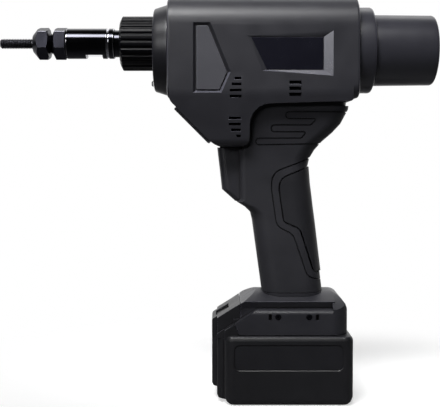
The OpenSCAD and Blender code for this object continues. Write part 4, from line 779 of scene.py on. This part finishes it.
# %% The fluted ring tree
STEPS = 12
fluted, size = tree_with("fluted_ring", Points=8, Flutes=24, Cutter=1.5 * MM, Pitch_Radius=21.8 * MM,
                         Height=0.0)
around = add(fluted, MATH, {0: size["Flutes"], 1: float(STEPS), 2: 1.0}, operation="MULTIPLY_ADD")
loops = add(fluted, MATH, {0: size["Points"], 1: 1.0}, operation="ADD")
sheet = add(fluted, "GeometryNodeMeshGrid", {"Size X": 2.0 * math.pi, "Size Y": size["Points"],
                                             "Vertices X": around, "Vertices Y": loops})
at = add(fluted, SPLIT, {0: add(fluted, POSITION)}).outputs
start = add(fluted, MATH, {0: size["Points"], 1: 0.5, 2: at["Y"]}, operation="MULTIPLY_ADD")
nearest = add(fluted, MATH, {0: start}, operation="ROUND")
turn = add(fluted, MATH, {0: nearest, 1: size["Points"]}, operation="FLOORED_MODULO")
spot = add(fluted, "GeometryNodeSampleIndex", {"Geometry": size["Geometry"], "Value": add(fluted, POSITION),
                                               "Index": turn}, data_type="FLOAT_VECTOR", domain="POINT")
profile = add(fluted, SPLIT, {0: spot}).outputs
lead = add(fluted, MATH, {0: 2.0 * math.pi, 1: size["Flutes"]}, operation="DIVIDE")
half_lead = add(fluted, MATH, {0: lead, 1: 0.5}, operation="MULTIPLY")
shifted = add(fluted, MATH, {0: at["X"], 1: half_lead}, operation="ADD")
wrapped = add(fluted, MATH, {0: shifted, 1: lead}, operation="FLOORED_MODULO")
off = add(fluted, MATH, {0: wrapped, 1: half_lead}, operation="SUBTRACT")
along, side = round_axis(fluted, off, size["Pitch_Radius"])
side_2 = add(fluted, MATH, {0: side, 1: side}, operation="MULTIPLY")
cutter_2 = add(fluted, MATH, {0: size["Cutter"], 1: size["Cutter"]}, operation="MULTIPLY")
room = add(fluted, MATH, {0: cutter_2, 1: side_2}, operation="SUBTRACT")
bite = add(fluted, MATH, {0: room}, operation="SQRT")
floor_r = add(fluted, MATH, {0: along, 1: bite}, operation="SUBTRACT")
in_flute = add(fluted, MATH, {0: room, 1: 0.0}, operation="GREATER_THAN")
limit = add(fluted, MIX, {0: in_flute, 2: 1.0, 3: floor_r}, data_type="FLOAT")
radius = add(fluted, MATH, {0: profile["Z"], 1: limit}, operation="MINIMUM")
upward, beside = round_axis(fluted, at["X"], radius)
rise = add(fluted, MATH, {0: upward, 1: size["Height"]}, operation="ADD")
placed = add(fluted, JOIN_XYZ, {"X": profile["X"], "Y": beside, "Z": rise})
moved = add(fluted, "GeometryNodeSetPosition", {"Geometry": sheet, "Position": placed})
joined = add(fluted, "GeometryNodeMergeByDistance", {"Geometry": moved, "Distance": JOIN})
close_tree(fluted, joined, size["Finish"])
print(len(fluted.nodes), "nodes in the ring tree")

# %% Turn the ring
RING_R, RING_WALL, TUBE_R, HOLE_R = 21.4 * MM, 2.4 * MM, 15.06 * MM, 11.05 * MM
BEVEL_R, BEVEL_X, BACK_EDGE = 3.6 * MM, 1.8 * MM, 0.6 * MM
front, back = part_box("adjuster_ring")[0][0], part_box("adjuster_ring")[1][0]
outline = [
    (front, HOLE_R), (front, RING_R - BEVEL_R), (front + BEVEL_X, RING_R), (back - BACK_EDGE, RING_R),
    (back, RING_R - BACK_EDGE), (back, TUBE_R), (front + RING_WALL, TUBE_R), (front + RING_WALL, HOLE_R),
]
line = bpy.data.meshes.new("ring_outline")
line.from_pydata([(x, 0.0, r) for x, r in outline], [], [])
ring = bmesh.new()
ring.from_mesh(grow(fluted, line, Points=len(outline), Height=AXIS_Z, Finish=finishes["black_anodised"]))
bmesh.ops.recalc_face_normals(ring, faces=ring.faces)
dress("adjuster_ring", ring)
print("ring with", len(outline), "profile points")

# %% [markdown]
# ## Screws
#
# Six hexagon-socket screws close the casing from the right, and two small ones a side hold the rails in the
# foot. One tree makes a screw on its own axis and sets a copy on every seat: the head is a chamfered
# cylinder with its socket cut out, and the shank is stretched to the depth of the seat. Copies made by hand
# would also do, but every change to the head would have to be made ten times.

# %% The screw tree
screws, size = tree_with("set_screws", Head_Radius=3.0 * MM, Head_Length=2.6 * MM, Shank_Radius=1.5 * MM,
                         Socket_Radius=1.2 * MM, Socket_Depth=1.4 * MM, Chamfer=0.4 * MM)
ROUND, HEX, BANDS = 32, 6, 4
CYLINDER = "GeometryNodeMeshCylinder"
half_head = add(screws, MATH, {0: size["Head_Length"], 1: 0.5}, operation="MULTIPLY")
drum = add(screws, CYLINDER, {"Vertices": ROUND, "Side Segments": BANDS, "Radius": size["Head_Radius"],
                              "Depth": size["Head_Length"]}, fill_type="NGON")
at = add(screws, SPLIT, {0: add(screws, POSITION)}).outputs
to_top = add(screws, MATH, {0: half_head, 1: at["Z"]}, operation="SUBTRACT")
narrow = add(screws, MATH, {0: size["Chamfer"], 1: to_top}, operation="SUBTRACT")
loss = add(screws, MATH, {0: narrow, 1: 0.0}, operation="MAXIMUM")
left = add(screws, MATH, {0: size["Head_Radius"], 1: loss}, operation="SUBTRACT")
ratio = add(screws, MATH, {0: left, 1: size["Head_Radius"]}, operation="DIVIDE")
slim = add(screws, JOIN_XYZ, {"X": ratio, "Y": ratio, "Z": 1.0})
eased_at = add(screws, "ShaderNodeVectorMath", {0: add(screws, POSITION), 1: slim}, operation="MULTIPLY")
head = add(screws, "GeometryNodeSetPosition", {"Geometry": drum, "Position": eased_at})
twice = add(screws, MATH, {0: size["Socket_Depth"], 1: 2.0}, operation="MULTIPLY")
key = add(screws, CYLINDER, {"Vertices": HEX, "Radius": size["Socket_Radius"], "Depth": twice},
          fill_type="NGON")
up = add(screws, JOIN_XYZ, {"Z": half_head})
lifted = add(screws, "GeometryNodeTransform", {"Geometry": key, "Translation": up})
socketed = add(screws, "GeometryNodeMeshBoolean", {"Mesh 1": head, "Mesh 2": lifted},
               operation="DIFFERENCE")
seated = add(screws, "GeometryNodeTransform", {"Geometry": socketed, "Translation": up})
rod = add(screws, CYLINDER, {"Vertices": ROUND, "Radius": size["Shank_Radius"], "Depth": 1.0},
          fill_type="NGON")
hung = add(screws, "GeometryNodeTransform", {"Geometry": rod, "Translation": (0.0, 0.0, -0.5)})
facing = add(screws, "GeometryNodeInputNamedAttribute", {"Name": "facing"}, data_type="FLOAT_VECTOR")
reach = add(screws, "GeometryNodeInputNamedAttribute", {"Name": "reach"}, data_type="FLOAT")
stretch = add(screws, JOIN_XYZ, {"X": 1.0, "Y": 1.0, "Z": reach})
aim = add(screws, "FunctionNodeAlignRotationToVector", {"Vector": facing}, axis="Z")
spots = add(screws, "GeometryNodeMeshToPoints", {"Mesh": size["Geometry"]})
heads = add(screws, "GeometryNodeInstanceOnPoints", {"Points": spots, "Instance": seated, "Rotation": aim})
shanks = add(screws, "GeometryNodeInstanceOnPoints", {"Points": spots, "Instance": hung,
                                                      "Rotation": aim, "Scale": stretch})
both = add(screws, "GeometryNodeJoinGeometry", {"Geometry": [heads, shanks]})
close_tree(screws, both, size["Finish"])
print(len(screws.nodes), "nodes in the screw tree")

# %% Drive the screws home
def drive(node, head_l, **sizes):
    """Replaces a CAD node of screws by screws from the tree, each on the seat of its own solid."""
    seats = bpy.data.meshes.new(node + "_seats")
    rows = []
    for low, high in islands(node):
        middle = 0.5 * (low + high)
        out = 1.0 if middle.y > 0.0 else -1.0
        face, inner = (high.y, low.y) if out > 0.0 else (low.y, high.y)
        seat = face - out * head_l
        rows.append(((middle.x, seat, middle.z), abs(seat - inner), (0.0, out, 0.0)))
    seats.from_pydata([row[0] for row in rows], [], [])
    reach = seats.attributes.new("reach", "FLOAT", "POINT")
    facing = seats.attributes.new("facing", "FLOAT_VECTOR", "POINT")
    for i, row in enumerate(rows):
        reach.data[i].value = row[1]
        facing.data[i].vector = row[2]
    grown = grow(screws, seats, Head_Length=head_l, Finish=finishes[slot_of[node]], **sizes)
    piece = piece_of(node + "_finished", grown)
    stand_in(piece, node)
    print(node, len(rows), "screws,", len(piece.data.polygons), "faces")


drive("casing_screws", 2.6 * MM)
drive("rail_screws", 0.8 * MM, Head_Radius=2.3 * MM, Socket_Radius=0.9 * MM, Socket_Depth=0.5 * MM,
      Chamfer=0.2 * MM)

# %% [markdown]
# ## Springs
#
# A wire wound on a mandrel is a helix, so the tree sweeps a circle along a spiral. The springs shorten as
# the trigger or the latch moves, and a coil spring only closes up along its own axis.

# %% The coil tree
PER_TURN, WIRE_SIDES = 24, 10
coil, size = tree_with("wound_spring", Radius=3.6 * MM, Wire=0.8 * MM, Length=15.0 * MM, Turns=6)
helix = add(coil, "GeometryNodeCurveSpiral", {"Resolution": PER_TURN, "Rotations": size["Turns"],
                                              "Start Radius": size["Radius"], "End Radius": size["Radius"],
                                              "Height": size["Length"]})
thick = add(coil, MATH, {0: size["Wire"], 1: 0.5}, operation="MULTIPLY")
section = add(coil, "GeometryNodeCurvePrimitiveCircle", {"Resolution": WIRE_SIDES, "Radius": thick})
wire = add(coil, "GeometryNodeCurveToMesh", {"Curve": helix, "Profile Curve": section, "Fill Caps": True})
close_tree(coil, wire, size["Finish"])
print(len(coil.nodes), "nodes in the coil tree")

# %% Wind the springs
def wind(node, wire, turns, axis):
    """Replaces a CAD spring by a wound one along X or Z."""
    low, high = (Vector(c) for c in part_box(node))
    span = high[axis] - low[axis]
    mesh = grow(coil, Radius=0.5 * (high.y - low.y - wire), Wire=wire, Length=span - wire, Turns=turns,
                Finish=finishes[slot_of[node]])
    start = 0.5 * (low + high)
    start[axis] = low[axis] + 0.5 * wire
    turned = Matrix.Rotation(math.pi / 2, 4, "Y") if axis == 0 else Matrix.Identity(4)
    mesh.transform(Matrix.Translation(start) @ turned)
    for face in mesh.polygons:
        face.use_smooth = True
    piece = piece_of(node + "_finished", mesh)
    stand_in(piece, node)
    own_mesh(piece)
    print(node, turns, "turns,", len(mesh.polygons), "faces")


wind("trigger_spring", wire=0.8 * MM, turns=6, axis=0)
wind("latch_spring", wire=0.7 * MM, turns=3, axis=2)

# %% [markdown]
# ## Small pieces that CAD leaves out
#
# Near-black foam behind the vents makes the slots black: painted shade inside them. It follows the inside of
# the wall, which a ray cast at the flank finds. A near-black wiper closes the slit over the trigger in the
# same way, as painted shade in the slit. A bare film lies in each recess of the pack, and a small cup stands
# in the clear bulb of the work light, as in any light-emitting diode. Solidify would thicken flat sheets
# just as well, but these have ends that must fit, so they are made point by point.

# %% Helpers for thin pieces
def prism(work, start, end):
    """Adds a closed solid between two rings that have the same number of points."""
    near, far = ([work.verts.new(point) for point in ring] for ring in (start, end))
    for i in range(len(near)):
        j = (i + 1) % len(near)
        work.faces.new((near[i], near[j], far[j], far[i]))
    work.faces.new(near)
    work.faces.new(far)


def trim(name, work, look, body):
    """Makes a piece that no CAD node stands for: faces turned outwards, a finish, a body and a slot."""
    bmesh.ops.recalc_face_normals(work, faces=work.faces)
    piece = piece_of(name, mesh_of(name, work, look))
    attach(piece, body)
    print(name, len(piece.data.polygons), "faces")


print("helpers for thin pieces ready")

# %% Foam behind the vents, as painted shade in the slots
WALL, FOAM_T, FOAM_GAP, STEP = 3.0 * MM, 1.2 * MM, 0.25 * MM, 1.5 * MM
OUTSIDE = 0.2

for name, side, node in (("vent_shade_foam_left", -1, "casing_left"), ("vent_shade_foam_right", 1, "casing_right")):
    wall = BVHTree.FromBMesh(welded(node))
    work = bmesh.new()
    for x0, x1, z0, z1 in VENTS:
        count = round((z1 - z0) * MM / STEP)
        ring = []
        for i in range(count + 1):
            z = (z0 + (z1 - z0) * i / count) * MM
            hit = wall.ray_cast(Vector((x1 * MM, OUTSIDE * side, z)), Vector((0.0, -side, 0.0)))[0]
            ring.append((hit.y - side * (WALL + FOAM_GAP), z))
        ring += [(y - side * FOAM_T, z) for y, z in reversed(ring)]
        prism(work, *([(x * MM, y, z) for y, z in ring] for x in (x0, x1)))
    trim(name, work, "foam", "tool")

# %% A dark wiper over the trigger, as painted shade in the slit
WIPER_HALF, WIPER_GAP, WIPER_SINK, WIPER_STEP = 12.0 * MM, 0.06 * MM, 0.05 * MM, 1.0 * MM
PROBE_Y, SLIT_MAX = -6.0 * MM, 1.2 * MM
(front, _, _), (back, _, trigger_top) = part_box("trigger")
roof = BVHTree.FromBMesh(welded("casing_left"))
underside = []
x = front + WIPER_STEP
while x < back:
    hit = roof.ray_cast(Vector((x, PROBE_Y, trigger_top)), Vector((0.0, 0.0, 1.0)), SLIT_MAX)[0]
    if hit:
        underside.append((x, hit.z + WIPER_SINK))
    x += WIPER_STEP
outline = underside + [(x, trigger_top + WIPER_GAP) for x, _ in reversed(underside)]
work = bmesh.new()
prism(work, *([(x, y, z) for x, z in outline] for y in (-WIPER_HALF, WIPER_HALF)))
trim("trigger_shade_wiper", work, "foam", "tool")
print("wiper from", round(underside[0][0] / MM, 1), "to", round(underside[-1][0] / MM, 1), "mm")

# %% Film in the recesses of the pack
LABEL = (-41.3 * MM, 40.8 * MM, 28.1 * MM, 46.4 * MM)
FILM_R, FILM_T, RECESS_Y, ARC = 3.7 * MM, 0.3 * MM, 35.9 * MM, 8
x0, x1, z0, z1 = LABEL
left, right, low, high = x0 + FILM_R, x1 - FILM_R, z0 + FILM_R, z1 - FILM_R
edge = []
for quarter, (x, z) in enumerate(((right, high), (left, high), (left, low), (right, low))):
    for i in range(ARC + 1):
        angle = (quarter + i / ARC) * math.pi / 2
        edge.append((x + FILM_R * math.cos(angle), z + FILM_R * math.sin(angle)))
for name, side in (("label_film_left", -1), ("label_film_right", 1)):
    work = bmesh.new()
    prism(work, *([(x, side * y, z) for x, z in edge] for y in (RECESS_Y, RECESS_Y + FILM_T)))
    trim(name, work, "film", "pack")

# %% The cup in the work light
CUP = [(0.0, 0.35), (0.5, 0.35), (1.1, 0.0), (1.25, 0.0), (1.25, 1.2), (0.4, 1.6), (0.0, 1.6)]
CUP_SIDES, CUP_SINK = 24, 3.0 * MM
bulb_low, bulb_high = (Vector(c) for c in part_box("lamp_lens"))
lamp_axis = 0.5 * (bulb_low.z + bulb_high.z)
work = bmesh.new()
rim = [work.verts.new((bulb_low.x + CUP_SINK + x * MM, 0.0, lamp_axis + r * MM)) for r, x in CUP]
for a, b in zip(rim, rim[1:]):
    work.edges.new((a, b))
bmesh.ops.spin(work, geom=work.verts[:] + work.edges[:], cent=(0.0, 0.0, lamp_axis), axis=(1.0, 0.0, 0.0),
               angle=2.0 * math.pi, steps=CUP_SIDES)
bmesh.ops.remove_doubles(work, verts=work.verts, dist=WELD)
trim("lamp_cup", work, "aluminium", "tool")

# %% [markdown]
# ## The last step
#
# The finished pieces must stay inside the box that CAD gave them.

# %% Update the view layer
bpy.context.view_layer.update()
